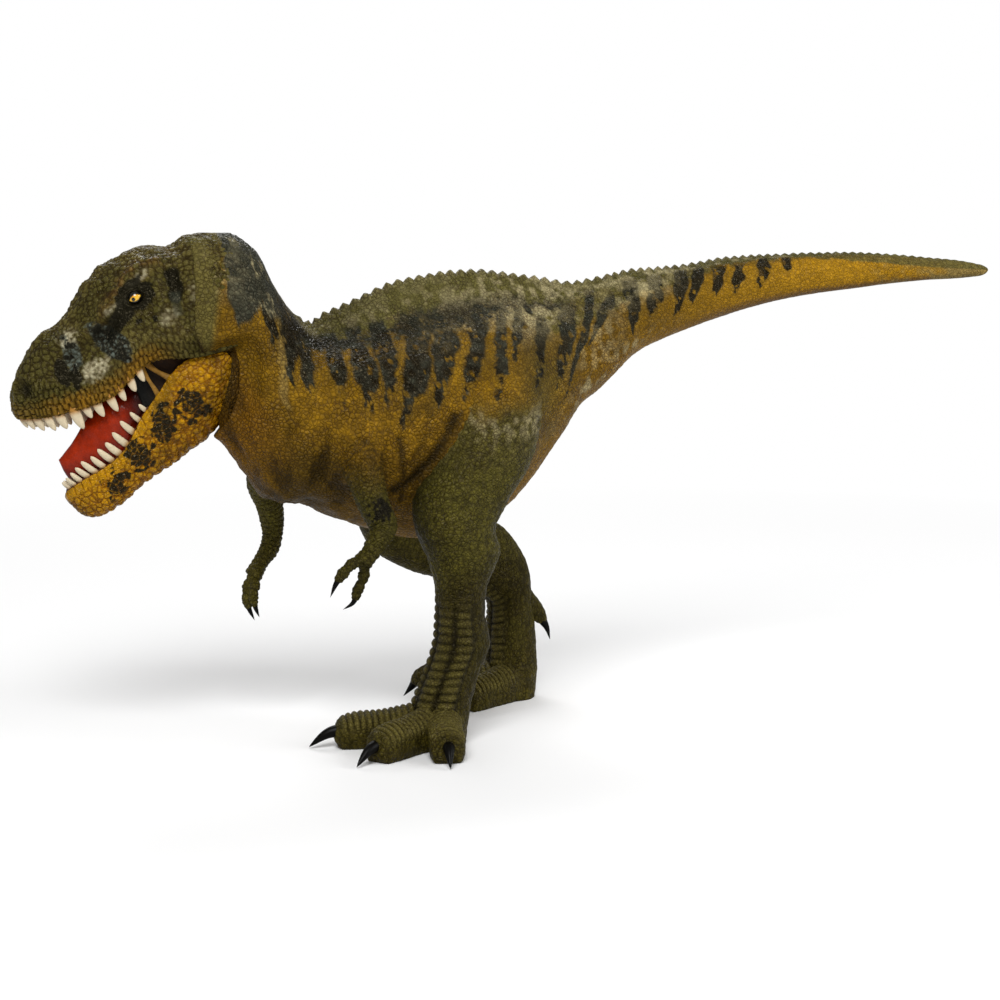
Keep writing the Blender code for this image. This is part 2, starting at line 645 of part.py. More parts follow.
def arch_path(table, wall, start_share, count, lift):
    """Path round a row of teeth from one side of the mouth to the other."""
    forward, half = mouth_outline(table, wall)
    tip = channel_plan(table, start_share)[0][-1] - FIT_GAP - GUM_WIDTH / 2
    keep = (forward > start_share * HEAD_LENGTH) & (forward < tip - GUM_WIDTH / 2)
    forward, half = forward[keep], half[keep]
    forward = np.concatenate((forward, (tip,), forward[::-1]))
    half = np.concatenate((half, (0.0,), -half[::-1]))
    running = np.concatenate(([0.0], np.cumsum(np.hypot(np.diff(forward), np.diff(half)))))
    at = np.linspace(0.0, running[-1], count)
    x = np.interp(at, running, forward)
    y = np.interp(at, running, half)
    return np.column_stack((x, y, lip_height(table, x) + lift))


def tooth_row(name, table, start_share, gum_lift, show, tooth_shares, parent):
    """A strip of gum round the mouth with pointed, slightly backward-curved teeth."""
    wall = LIP_WALL + FIT_GAP + GUM_WIDTH / 2
    strip = arch_path(table, wall, start_share, 2 * TEETH_PER_SIDE + 1, gum_lift)
    ahead = np.gradient(strip, axis=0)
    ahead /= np.linalg.norm(ahead, axis=1)[:, None]
    out = np.cross(ahead, (0.0, 0.0, 1.0))
    out /= np.linalg.norm(out, axis=1)[:, None]
    lift = np.array((0.0, 0.0, GUM_HEIGHT / 2))
    wide = out * GUM_WIDTH / 2
    rings = np.stack((strip + wide + lift, strip - wide + lift,
                      strip - wide - lift, strip + wide - lift), axis=1)
    row = skin(name, rings, TOOTH_IVORY, parent)
    way = -1.0 if gum_lift > 0 else 1.0
    hidden = abs(gum_lift)
    teeth = []
    for index in range(2 * TEETH_PER_SIDE):
        near = min(index, 2 * TEETH_PER_SIDE - 1 - index)
        root = (strip[index] + strip[index + 1]) / 2
        length = hidden + show * tooth_shares[near]
        along = unit(strip[index + 1] - strip[index])
        across = unit(np.cross(along, (0.0, 0.0, 1.0)))
        levels = []
        for reach, radius, lean in TOOTH_SHARES:
            middle = root + length * np.array((-lean, 0.0, way * reach))
            wide_step = along * (radius * TOOTH_RADIUS)
            levels.append(ring(middle + wide_step, middle - wide_step, across,
                               radius * GUM_WIDTH / 2, TOOTH_SIDES))
        teeth.append(skin(f"{name}_{index}", levels, TOOTH_IVORY, parent, helper=True))
    combine_all(row, teeth, "UNION")
    return row


skull = skin("skull", skull_rings(), SKULL_HIDE, HEAD)
collar_places = np.linspace(COLLAR_START_SHARE, NECK_SEAM_SHARE, 6)
collar = skin("collar", body_rings(collar_places, SPINE_SIDES), SKULL_HIDE, helper=True)
combine(skull, collar, "UNION")


def side_plate(name, outline, half_width):
    """A plate across the head with a given side outline, forward and up from the hinge."""
    rings = []
    for out in (-half_width, half_width):
        rings.append(np.column_stack((outline[:, 0], np.full(len(outline), out), outline[:, 1])))
    return skin(name, rings, SKULL_HIDE, HEAD, helper=True)


def hinge_outline():
    """Side outline of the hinge block: round below the pin and square where it meets the skull."""
    turn = np.linspace(0, -math.pi, PEG_SIDES)
    arc = HINGE_BLOCK_RADIUS * np.column_stack((np.cos(turn), np.sin(turn)))
    back = -HINGE_BLOCK_RADIUS - OVERRUN
    top = HINGE_BLOCK_RADIUS + OVERRUN
    return np.vstack((arc, ((back, 0.0), (back, top), (HINGE_BLOCK_RADIUS, top))))


def cross_bar(name, half_length, radius, parent):
    """A round bar along the hinge axis, centred on the head's middle plane."""
    return peg(name, (0.0, -half_length, 0.0), (0.0, half_length, 0.0), radius, parent)


combine(skull, side_plate("jaw_room", JAW_ROOM_SHARES * HEAD_LENGTH, HEAD_WIDTH), "DIFFERENCE")
combine(skull, side_plate("jaw_pocket", JAW_POCKET_SHARES * HEAD_LENGTH, JAW_POCKET_HALF_WIDTH),
        "DIFFERENCE")
combine(skull, side_plate("hinge_block", hinge_outline(), HINGE_BLOCK_HALF_WIDTH), "UNION")
combine(skull, cross_bar("pin_bore", HINGE_BLOCK_HALF_WIDTH + OVERRUN, PIN_RADIUS + FIT_GAP, HEAD),
        "DIFFERENCE")


def palate_cutter():
    """The hollow between the lips that holds the upper teeth."""
    forward, half = channel_plan(SKULL_SHARES, PALATE_START_SHARE)
    lip = lip_height(SKULL_SHARES, forward)
    vault = np.maximum(half - GUM_WIDTH - 2 * FIT_GAP, GUM_WIDTH / 2)
    rings = []
    for x, y, inner, z in zip(forward, half, vault, lip):
        ledge = z + PALATE_RISE
        crown = ledge + VAULT_RISE * min(1.0, inner / VAULT_HALF_WIDTH)
        crown_half = inner * VAULT_CROWN_SHARE
        rings.append(((x, y, z - OVERRUN), (x, y, ledge), (x, inner, ledge),
                      (x, crown_half, crown), (x, -crown_half, crown), (x, -inner, ledge),
                      (x, -y, ledge), (x, -y, z - OVERRUN)))
    return skin("palate_hollow", rings, SKULL_HIDE, HEAD, helper=True)


combine(skull, palate_cutter(), "DIFFERENCE")
skull_half_at_eye = float(read_table(SKULL_SHARES, EYE_SHARES[0])[0, 3]) * HEAD_WIDTH / 2
eyes = []
for way in (-1, 1):
    mesh = bpy.data.meshes.new("eye")
    ball = bmesh.new()
    bmesh.ops.create_icosphere(ball, subdivisions=2, radius=EYE_RADIUS)
    ball.to_mesh(mesh)
    ball.free()
    eye = add_object(f"eye_{way}", mesh, SKULL_HIDE, HEAD, helper=True)
    eye.location = head_point(*EYE_SHARES, way * (skull_half_at_eye * EYE_OUT_SHARE - EYE_SINK))
    eyes.append(eye)
combine_all(skull, eyes, "UNION")

neck_peg_end = neck_root - neck_ahead * NECK_PEG_LENGTH
combine(skull, peg("neck_peg", neck_root + neck_ahead * OVERRUN, neck_peg_end,
                   NECK_PEG_RADIUS), "UNION")
combine(torso, peg("neck_socket", neck_root + neck_ahead * OVERRUN,
                   neck_peg_end - neck_ahead * FIT_GAP, NECK_PEG_RADIUS + FIT_GAP), "DIFFERENCE")

upper_gum_lift = PALATE_RISE - FIT_GAP - GUM_HEIGHT / 2
upper_teeth = tooth_row("upper_teeth", SKULL_SHARES, TEETH_START_UPPER_SHARE, upper_gum_lift,
                        TOOTH_SHOW_UPPER, UPPER_TOOTH_SHARES, HEAD)


def jaw_rings(rows):
    """Sections of the lower jaw, flat along the lip and round below."""
    rings = []
    for lip_x, lip_z, under_x, under_z, half in rows:
        rings.append(ring(head_point(under_x, under_z), head_point(lip_x, lip_z), SIDE,
                          half * HEAD_WIDTH / 2, JAW_SIDES, JAW_CUT))
    return rings


def mouth_floor_cutter():
    """The channel between the lower lips, open at the back for the hinge block."""
    forward, half = channel_plan(JAW_SHARES, MOUTH_START_SHARE)
    lip = lip_height(JAW_SHARES, forward)
    rings = []
    for x, y, z in zip(forward, half, lip):
        rings.append(((x, y, z + OVERRUN), (x, y, z - MOUTH_FLOOR_DEPTH), (x, 0.0, z - MOUTH_FLOOR_DEPTH),
                      (x, -y, z - MOUTH_FLOOR_DEPTH), (x, -y, z + OVERRUN)))
    return skin("mouth_channel", rings, JAW_HIDE, JAW, helper=True)


def box(name, low, high, material, parent):
    """A block between two corners, used as a cutter."""
    corners = ((low[0], low[1]), (high[0], low[1]), (high[0], high[1]), (low[0], high[1]))
    rings = [[(x, y, z) for x, y in corners] for z in (low[2], high[2])]
    return skin(name, rings, material, parent, helper=True)


lower_jaw = skin("lower_jaw", jaw_rings(resample(JAW_SHARES, JAW_RINGS)), JAW_HIDE, JAW)
combine(lower_jaw, mouth_floor_cutter(), "DIFFERENCE")
slot_half = HINGE_BLOCK_HALF_WIDTH + HINGE_GAP
slot_floor = -HINGE_BLOCK_RADIUS - HINGE_GAP
slot_front = SLOT_FRONT_SHARE * HEAD_LENGTH
combine(lower_jaw, box("hinge_slot", (-HEAD_LENGTH / 2, -slot_half, slot_floor),
                       (slot_front, slot_half, HEAD_LENGTH), JAW_HIDE, JAW), "DIFFERENCE")
pin_half_length = float(JAW_SHARES[0, 4]) * HEAD_WIDTH / 2 - LUG_WALL
combine(lower_jaw, cross_bar("pin_seat", pin_half_length + FIT_GAP, PIN_RADIUS + FIT_GAP, JAW),
        "DIFFERENCE")
jaw_pin = tube("jaw_pin", ((0.0, -pin_half_length, 0.0), (0.0, pin_half_length, 0.0)),
               (PIN_RADIUS, PIN_RADIUS), PEG_SIDES, PIN_STEEL, HEAD)

lower_gum_lift = FIT_GAP + GUM_HEIGHT / 2 - MOUTH_FLOOR_DEPTH
lower_teeth = tooth_row("lower_teeth", JAW_SHARES, TEETH_START_LOWER_SHARE, lower_gum_lift,
                        TOOTH_SHOW_LOWER, LOWER_TOOTH_SHARES, JAW)


def tongue_rings():
    """Sections of the tongue, which lies on the mouth floor and lifts its tip."""
    rings = []
    for forward, top, lift, half in resample(TONGUE_SHARES, TONGUE_RINGS):
        x = forward * HEAD_LENGTH
        floor = float(lip_height(JAW_SHARES, x)) - MOUTH_FLOOR_DEPTH + FIT_GAP
        low = np.array((x, 0.0, floor + lift * HEAD_LENGTH))
        rings.append(ring(head_point(forward, top), low, SIDE, half * HEAD_WIDTH / 2, TONGUE_SIDES,
                          TONGUE_CUT))
    return rings


tongue = skin("tongue", tongue_rings(), TONGUE_RED, JAW)

# Body shape grown by the fit gap, which cuts the limbs to the flank

envelope = skin("flank_envelope", body_rings(torso_places, SPINE_SIDES, FLANK_GAP), LIMB_HIDE,
                helper=True)


def leg(name, table, way, toes, hallux_table):
    """One leg from the hip to the sole, with three toes, a small inner toe and claws."""
    high = np.column_stack((table[:, 0] * HIP_HEIGHT, way * table[:, 4] * BODY_WIDTH,
                            table[:, 1] * HIP_HEIGHT))
    low = np.column_stack((table[:, 2] * HIP_HEIGHT, way * table[:, 4] * BODY_WIDTH,
                           table[:, 3] * HIP_HEIGHT))
    half = table[:, 5] * BODY_WIDTH
    middle = (high + low) / 2
    rows = along_rows(np.column_stack((middle, high, low, half)), LEG_RINGS)
    rings = [ring(row[3:6], row[6:9], SIDE, row[9], LEG_SIDES) for row in rows]
    limb = skin(name, rings, LIMB_HIDE)
    ankle = middle[-1]
    parts = []
    for index, (turn, share, step) in enumerate(toes):
        root = ankle + np.array((0.0, way * step * TOE_WIDTH, 0.0))
        parts.append(toe(f"{name}_toe_{index}", root, math.radians(turn), share * TOE_LENGTH, way))
    path = np.column_stack((hallux_table[:, 0] * HIP_HEIGHT, way * hallux_table[:, 1] * BODY_WIDTH,
                            hallux_table[:, 2] * HIP_HEIGHT))
    parts.append(tube(f"{name}_hallux", path, hallux_table[:, 3] * HIP_HEIGHT, TOE_SIDES,
                      LIMB_HIDE, helper=True))
    combine_all(limb, parts, "UNION")
    combine(limb, envelope, "DIFFERENCE")
    x, z = HIP_PEG_SHARES[0] * HIP_HEIGHT, HIP_PEG_SHARES[1] * HIP_HEIGHT
    flank = float(spine_frame([x / BODY_LENGTH])[3][0])
    outer, inner = way * (flank + OVERRUN / 2), way * (flank - LEG_PEG_LENGTH)
    combine(limb, peg(f"{name}_peg", (x, outer, z), (x, inner, z), LEG_PEG_RADIUS), "UNION")
    combine(torso, peg(f"{name}_socket", (x, outer, z), (x, inner - way * FIT_GAP, z),
                       LEG_PEG_RADIUS + FIT_GAP), "DIFFERENCE")
    return limb


def toe(name, root, heading, length, way):
    """One toe with its claw, flat on the ground, heading outwards from straight ahead."""
    ahead = np.array((-math.cos(heading), way * math.sin(heading), 0.0))
    side = np.array((-ahead[1], ahead[0], 0.0))
    rings = []
    for along, half, low, high in TOE_SHARES:
        place = root + ahead * (length * along)
        place[2] = 0.0
        bottom = place + np.array((0.0, 0.0, low * TOE_WIDTH))
        top = place + np.array((0.0, 0.0, high * TOE_WIDTH))
        rings.append(ring(top, bottom, side, half * TOE_WIDTH / 2, TOE_SIDES, SOLE_CUT))
    return skin(name, rings, LIMB_HIDE, helper=True)


left_leg = leg("left_leg", LEFT_LEG_SHARES, -1.0, LEFT_TOES_SHARES, LEFT_HALLUX_SHARES)
right_leg = leg("right_leg", RIGHT_LEG_SHARES, 1.0, RIGHT_TOES_SHARES, RIGHT_HALLUX_SHARES)


def arm(name, table, fingers, shoulder_shares, way):
    """One short arm, bent at the elbow, with two clawed fingers."""
    place, rise = shoulder_shares
    top, bottom, _, half, _ = spine_frame([place])
    shoulder = np.array((place * BODY_LENGTH, way * half[0] * SHOULDER_OUT_SHARE,
                         HIP_HEIGHT + rise * BODY_DEPTH))
    steps = np.column_stack((table[:, 0], way * table[:, 1], table[:, 2])) * ARM_LENGTH
    points = np.column_stack((shoulder + steps, table[:, 3] * ARM_LENGTH))
    rows = along_rows(points, ARM_RINGS)
    limb = tube(name, rows[:, :3], rows[:, 3], ARM_SIDES, LIMB_HIDE)
    wrist = rows[-1, :3]
    parts = []
    for index, finger in enumerate(fingers):
        finger = np.array(finger) * ARM_LENGTH
        path = wrist + finger[:, :3] * np.array((1.0, way, 1.0))
        parts.append(tube(f"{name}_finger_{index}", path, finger[:, 3], FINGER_SIDES, LIMB_HIDE,
                          helper=True))
    combine_all(limb, parts, "UNION")
    combine(limb, envelope, "DIFFERENCE")
    start = shoulder + np.array((0.0, way * ARM_PEG_OUT, -ARM_PEG_RADIUS))
    inner = start - np.array((0.0, way * (ARM_PEG_LENGTH + ARM_PEG_OUT), 0.0))
    combine(limb, peg(f"{name}_peg", start, inner, ARM_PEG_RADIUS), "UNION")
    overrun = np.array((0.0, way * OVERRUN, 0.0))
    gap = np.array((0.0, way * FIT_GAP, 0.0))
    combine(torso, peg(f"{name}_socket", start + overrun, inner - gap, ARM_PEG_RADIUS + FIT_GAP),
            "DIFFERENCE")
    return limb


left_arm = arm("left_arm", LEFT_ARM_SHARES, LEFT_FINGERS_SHARES, LEFT_SHOULDER_SHARES, -1.0)
right_arm = arm("right_arm", RIGHT_ARM_SHARES, RIGHT_FINGERS_SHARES, RIGHT_SHOULDER_SHARES, 1.0)

# Move the figure so that the middle of its base is at the origin

bpy.context.view_layer.update()
graph = bpy.context.evaluated_depsgraph_get()
points = []
for solid in SCENE.objects:
    if solid.type == "MESH" and not solid.hide_render:
        evaluated = solid.evaluated_get(graph)
        points += [evaluated.matrix_world @ vertex.co for vertex in evaluated.data.vertices]
points = np.array(points)
middle = (points.min(axis=0) + points.max(axis=0)) / 2
FIGURE.location = (-middle[0], -middle[1], -points[:, 2].min())
bpy.context.view_layer.update()
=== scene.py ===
"""Looks of the toy dinosaur figure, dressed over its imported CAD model.

The figure faces -X, its left side is -Y and the ground is z = 0. Every skin is a grid of points
worked out from the same tables as the solids, then raised into scales, folds and ribs, and
painted by formula into a colour attribute that the finishes read.
"""

import logging
import math
from dataclasses import dataclass, field
from enum import Enum
from typing import Callable

import bpy
import numpy as np
from mathutils import Matrix, Vector

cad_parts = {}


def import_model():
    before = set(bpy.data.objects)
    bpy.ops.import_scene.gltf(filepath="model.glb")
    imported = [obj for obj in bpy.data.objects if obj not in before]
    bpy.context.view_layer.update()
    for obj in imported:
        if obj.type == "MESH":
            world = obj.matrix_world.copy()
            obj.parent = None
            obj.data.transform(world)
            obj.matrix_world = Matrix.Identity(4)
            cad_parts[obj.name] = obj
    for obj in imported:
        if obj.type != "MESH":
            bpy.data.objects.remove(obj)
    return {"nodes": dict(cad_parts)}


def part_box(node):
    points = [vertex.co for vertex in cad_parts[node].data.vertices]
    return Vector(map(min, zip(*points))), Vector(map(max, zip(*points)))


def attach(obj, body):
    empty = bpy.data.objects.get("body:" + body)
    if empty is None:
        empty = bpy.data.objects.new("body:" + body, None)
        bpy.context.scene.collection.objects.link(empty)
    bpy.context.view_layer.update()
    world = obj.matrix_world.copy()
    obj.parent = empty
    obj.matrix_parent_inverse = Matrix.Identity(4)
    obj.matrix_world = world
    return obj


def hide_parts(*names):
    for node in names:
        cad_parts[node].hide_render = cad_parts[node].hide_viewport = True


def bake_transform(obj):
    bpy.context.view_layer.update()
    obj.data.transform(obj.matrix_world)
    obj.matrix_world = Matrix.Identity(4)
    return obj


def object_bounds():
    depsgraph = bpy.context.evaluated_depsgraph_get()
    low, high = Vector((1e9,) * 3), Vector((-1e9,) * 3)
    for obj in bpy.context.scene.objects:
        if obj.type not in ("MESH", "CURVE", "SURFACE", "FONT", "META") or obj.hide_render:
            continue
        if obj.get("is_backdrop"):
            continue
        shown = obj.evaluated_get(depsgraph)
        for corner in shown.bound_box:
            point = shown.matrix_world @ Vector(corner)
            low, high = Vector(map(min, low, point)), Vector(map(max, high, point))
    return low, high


LOG = logging.getLogger("dinosaur_looks")
Array = np.ndarray
MM = 0.001


def shares(*rows: tuple) -> Array:
    """Table from rows that are written in thousandths."""
    return np.array(rows) / 1000


# Sizes of the moulding in metres, as in its CAD model. The tables below hold shares of them.
HIP_HEIGHT = 0.095
BODY_LENGTH = 0.260
BODY_DEPTH = 0.082
BODY_WIDTH = 0.050
KEEL_HEIGHT = 0.0095
KEEL_WIDTH = 0.0055
TAIL_SWING = 0.030
HEAD_LENGTH = 0.058
HEAD_WIDTH = 0.029
ARM_LENGTH = 0.050
TOE_LENGTH = 0.037
TOE_WIDTH = 0.0105
HEAD_TURN = math.radians(22)
HEAD_PITCH = math.radians(16)
HEAD_ANCHOR_SHARE = -0.345
TAIL_SEAM_SHARE = 0.125
TAIL_TIP_SHARE = 0.632
HINGE_FROM_NECK_SHARES = (-0.1155, 0.0585, -0.046)

# Spine: middle, lean, top, bottom, half width, keel and swing, all shares
SPINE_SHARES = shares(
    (-430, 30, 600, 40, 440, 0, 180), (-400, 36, 618, -15, 500, 0, 150),
    (-367, 42, 604, -40, 580, 50, 117), (-345, 50, 515, -88, 640, 80, 83),
    (-325, 58, 393, -150, 700, 120, 57), (-302, 54, 327, -270, 800, 250, 30),
    (-267, 35, 352, -306, 900, 500, 10), (-230, 23, 394, -365, 970, 750, 0),
    (-187, 19, 450, -421, 1000, 950, 0), (-143, 15, 479, -455, 1000, 1000, 0),
    (-87, 8, 499, -450, 950, 1000, 0), (-30, 6, 495, -375, 860, 900, 0), (25, 6, 474, -200, 720, 700, 0),
    (64, 12, 458, -45, 600, 550, -7), (108, 8, 478, 63, 490, 450, -33), (162, 8, 504, 198, 390, 380, -83),
    (215, 8, 520, 268, 330, 320, -143), (269, 8, 549, 324, 290, 280, -220),
    (337, 4, 565, 382, 240, 230, -330), (405, 4, 574, 418, 200, 180, -460),
    (472, 0, 574, 446, 160, 140, -600), (540, 0, 562, 468, 120, 90, -760),
    (595, 0, 547, 479, 80, 40, -893), (632, 0, 527, 490, 40, 0, -995),
)
# Stripes: place and height at the top, the same at the lower end, and half width in metres,
# which is written in millimetres here
STRIPES = shares(
    (-345, 130, -334, 390, 1.3), (-327, 90, -317, 430, 1.9), (-312, 90, -299, 400, 1.9),
    (-275, 60, -268, 390, 2.5), (-241, 60, -241, 430, 2.9), (-210, 40, -220, 380, 2.5),
    (-164, 30, -204, 470, 4.1), (-126, 20, -169, 430, 3.5), (-81, 30, -130, 400, 3.2),
    (-55, 50, -95, 410, 1.9), (-24, 40, -60, 260, 1.9), (-1, 120, -30, 380, 2.5), (40, 110, 5, 480, 2.9),
    (73, 100, 16, 600, 1.9), (103, 110, 62, 350, 2.5), (137, 100, 132, 550, 2.2),
    (170, 110, 161, 520, 2.5), (208, 60, 197, 570, 2.2), (231, 90, 217, 500, 1.9),
    (259, 130, 250, 520, 1.9), (287, 150, 280, 530, 1.9), (321, 90, 315, 520, 1.9),
    (354, 80, 353, 340, 1.6),
)
# Legs: front x, z, back x, z (shares of the hip height), side place and half width (shares of
# the body width)
LEFT_LEG_SHARES = shares(
    (-250, 1270, -50, 1270, 150, 80), (-330, 1130, -45, 1150, 290, 170), (-395, 980, -65, 1000, 360, 210),
    (-450, 850, -110, 840, 410, 230), (-505, 745, -200, 735, 460, 220), (-505, 660, -252, 655, 490, 200),
    (-468, 570, -236, 590, 500, 185), (-442, 480, -280, 480, 495, 150), (-434, 390, -286, 390, 490, 145),
    (-442, 300, -266, 300, 485, 150), (-472, 215, -300, 225, 480, 148), (-510, 125, -336, 110, 480, 165),
    (-515, 45, -352, 35, 480, 175), (-510, 0, -356, 0, 480, 170),
)
RIGHT_LEG_SHARES = shares(
    (-250, 1270, -30, 1270, 150, 80), (-345, 1120, -10, 1140, 290, 170), (-410, 970, -30, 980, 360, 210),
    (-460, 830, -60, 840, 410, 230), (-470, 670, -110, 740, 460, 220), (-410, 540, -110, 670, 490, 200),
    (-290, 462, -50, 635, 500, 180), (-150, 415, 20, 610, 495, 160), (-30, 370, 105, 550, 480, 148),
    (30, 325, 160, 455, 460, 148), (25, 250, 175, 315, 435, 142), (10, 155, 180, 185, 405, 148),
    (0, 60, 172, 70, 375, 165), (0, 0, 158, 0, 365, 165),
)
# Inner toes: x, side place, z and radius
LEFT_HALLUX_SHARES = shares(
    (-395, 400, 225, 30), (-440, 340, 200, 30), (-462, 290, 176, 26), (-472, 270, 158, 18),
    (-500, 270, 132, 3),
)
RIGHT_HALLUX_SHARES = shares(
    (130, 420, 350, 34), (174, 400, 300, 31), (203, 380, 258, 26), (219, 360, 228, 18), (235, 360, 181, 3),
)
# Toes: place along, width, bottom and top (shares of the toe's length and width)
TOE_SHARES = shares(
    (0, 900, 0, 1150), (250, 1000, 0, 1020), (450, 930, 0, 920), (620, 980, 0, 900), (740, 880, 0, 820),
    (800, 800, 0, 780), (830, 700, 0, 700),
)
# Each toe: turn in degrees, share of the toe's length, and step aside at its root
LEFT_TOES_SHARES = ((-16, 1.02, -0.15), (23, 1.00, 0.05), (66, 0.82, 0.15))
RIGHT_TOES_SHARES = ((-20, 0.86, -0.28), (14, 0.86, 0.00), (56, 0.78, 0.15))
# Arms and fingers: x, side place, z and radius (shares of the arm's length)
LEFT_ARM_SHARES = shares(
    (60, -150, -20, 110), (63, -20, -130, 115), (65, 50, -240, 108), (78, 100, -360, 95),
    (95, 135, -450, 86), (137, 150, -560, 78), (92, 160, -639, 64), (42, 160, -708, 50),
    (8, 150, -750, 52),
)
RIGHT_ARM_SHARES = shares(
    (-115, -180, 60, 100), (-115, -50, -30, 105), (-100, 20, -120, 95), (-47, 60, -228, 82),
    (-11, 100, -343, 72), (0, 120, -440, 61), (-22, 120, -525, 58), (-85, 100, -596, 47),
    (-145, 80, -674, 52),
)
LEFT_FINGERS_SHARES = (
    shares((20, 0, 20, 30), (-73, 20, 1, 30), (-138, 40, -42, 30), (-181, 40, -95, 26),
           (-216, 30, -176, 5)),
    shares((0, 0, 20, 30), (21, -30, -78, 30), (-9, -50, -166, 28), (-33, -60, -234, 28),
           (-97, -60, -269, 5)),
)
RIGHT_FINGERS_SHARES = (
    shares((10, 0, 20, 34), (-34, 0, -67, 34), (-42, 0, -129, 31), (-36, 0, -184, 28), (4, 0, -278, 5)),
    shares((10, -20, 20, 30), (-20, -60, -70, 30), (-30, -70, -130, 26), (-20, -70, -180, 22),
           (10, -60, -250, 5)),
)
# Shoulders: place along the body and height over the hip
LEFT_SHOULDER_SHARES = (-0.262, -0.02)
RIGHT_SHOULDER_SHARES = (-0.275, -0.19)
# Skull: place forward of the hinge, top, lip and half width
SKULL_SHARES = shares(
    (-300, 480, 170, 560), (-220, 590, 110, 840), (-130, 638, 80, 970), (-35, 636, 75, 1000),
    (70, 628, 80, 1000), (155, 655, 100, 970), (240, 652, 118, 910), (330, 640, 108, 850),
    (415, 618, 60, 780), (500, 566, 14, 720), (585, 476, 0, 680), (670, 414, -5, 650), (760, 390, -4, 610),
    (845, 334, 4, 570), (915, 266, 14, 490), (968, 186, 26, 390), (1004, 98, 40, 220),
)
# Lower jaw: lip x, z, underside x, z and half width
JAW_SHARES = shares(
    (-60, 70, -104, -10, 780), (45, 84, -62, -140, 850), (140, 74, 24, -238, 850),
    (215, 34, 136, -307, 800), (300, -36, 240, -350, 720), (412, -128, 360, -395, 630),
    (545, -260, 515, -447, 540), (665, -315, 655, -512, 480), (760, -340, 755, -540, 420),
    (845, -366, 838, -508, 360), (893, -385, 882, -440, 220),
)
# Tongue: place forward, top and half width
TONGUE_SHARES = shares(
    (225, 55, 300), (290, 95, 400), (370, 90, 440), (470, 50, 420), (570, 8, 370), (650, -45, 310),
    (730, -105, 240), (800, -170, 170), (868, -218, 90),
)
# Rear edge of the room that the jaw needs: up and forward of the hinge
ROOM_SHARES = shares(
    (-425, 370), (-362, 240), (-319, 133), (-246, 26), (-146, -52), (-13, -96), (75, -100),
)
# Teeth from the mouth's corner to the front: place forward and shown length
UPPER_TOOTH_SHARES = shares(
    (362, 580), (412, 620), (474, 550), (531, 750), (600, 740), (655, 600), (712, 1000), (785, 800),
    (845, 800), (895, 720), (938, 620), (966, 520),
)
LOWER_TOOTH_SHARES = shares(
    (385, 520), (428, 680), (472, 920), (520, 1000), (566, 960), (612, 1000), (660, 900), (706, 940),
    (748, 800), (788, 720), (823, 620), (852, 540),
)
# Dark back: place, upper and lower edge down the flank
BACK_BAND_SHARES = shares(
    (-430, -1000, -900), (-394, -1000, -50), (-381, -1000, 330), (-366, -1000, 420), (-355, -1000, 340),
    (-348, -1000, 190), (-341, -1000, 240), (-332, -600, 130), (-320, 5, 130), (-290, 12, 85),
    (-255, 20, 75), (-225, 26, 60), (-200, 26, 62), (-165, 18, 82), (-120, 16, 88), (-70, 16, 72),
    (-20, 20, 58), (30, 30, 60), (70, 40, 40), (632, 40, 0),
)


class Side(Enum):
    """Side of the figure: the sign of y that points outwards on it."""

    LEFT = -1.0
    RIGHT = 1.0


def paint(red: int, green: int, blue: int) -> Array:
    """Linear colour of a screen colour written from 0 to 255: the usual 2.4 power curve."""
    share = np.array((red, green, blue)) / 255.0
    return np.where(share <= 0.04045, share / 12.92, ((share + 0.055) / 1.055) ** 2.4)


class Paints:
    """Named paints of the figure, as linear colours."""

    OCHRE = paint(124, 91, 11)
    BRIGHT_OCHRE = paint(152, 113, 15)
    DEEP_OCHRE = paint(98, 72, 10)
    OLIVE = paint(94, 88, 44)
    GREY_OLIVE = paint(84, 76, 34)
    SKULL = paint(74, 68, 28)
    SKULL_LIGHT = paint(98, 88, 44)
    SKULL_GREY = paint(92, 102, 96)
    SKULL_PALE = paint(192, 184, 152)
    BELLY = paint(146, 108, 20)
    THROAT = paint(122, 84, 13)
    CHEST = paint(74, 56, 11)
    BLACK = paint(12, 11, 6)
    SLATE = paint(54, 57, 48)
    TAN = paint(160, 136, 76)
    DUST = paint(176, 164, 122)
    THIGH = paint(82, 76, 26)
    SHIN = paint(60, 53, 14)
    SCUTE = paint(88, 80, 38)
    TAIL_SIDE = paint(174, 128, 17)
    TAIL_BELLY = paint(114, 82, 34)
    TAIL_END = paint(134, 118, 70)
    JAW_YELLOW = paint(176, 126, 9)
    LIP_OCHRE = paint(136, 98, 22)
    EYE_YELLOW = paint(236, 184, 50)
    EYE_AMBER = paint(190, 96, 20)
    IVORY = paint(212, 196, 164)
    IVORY_ROOT = paint(168, 118, 46)
    GUM = paint(70, 30, 10)
    TONGUE = paint(152, 38, 3)
    # Darker tongue red, used for painted shade on the tongue and for its mottling.
    TONGUE_SHADE_AND_MOTTLE = paint(84, 14, 3)
    MOUTH = paint(24, 8, 4)
    CHEEK = paint(52, 30, 10)
    STRAP = paint(150, 112, 50)
    CLAW = paint(8, 7, 5)
    RUST = paint(124, 86, 40)
    WASH = paint(88, 54, 16)


# Number rules shared by all skins

def ease(low: float, high: float, value: Array) -> Array:
    """Soft step: 3 t squared minus 2 t cubed, with t the clipped share from low to high."""
    t = held((value - low) / (high - low))
    return t * t * (3.0 - 2.0 * t)


def held(value: Array) -> Array:
    """Value held between 0 and 1."""
    return np.clip(value, 0.0, 1.0)


def bell(value: Array, width: float | Array) -> Array:
    """Bell curve: e to the minus square of value over width."""
    return np.exp(-(value / width) ** 2)


def blunt(share: Array, least: float) -> Array:
    """Rounded end: the root of one minus the square of a held share, its square at least so much."""
    return np.sqrt(np.maximum(1 - held(share) ** 2, least))


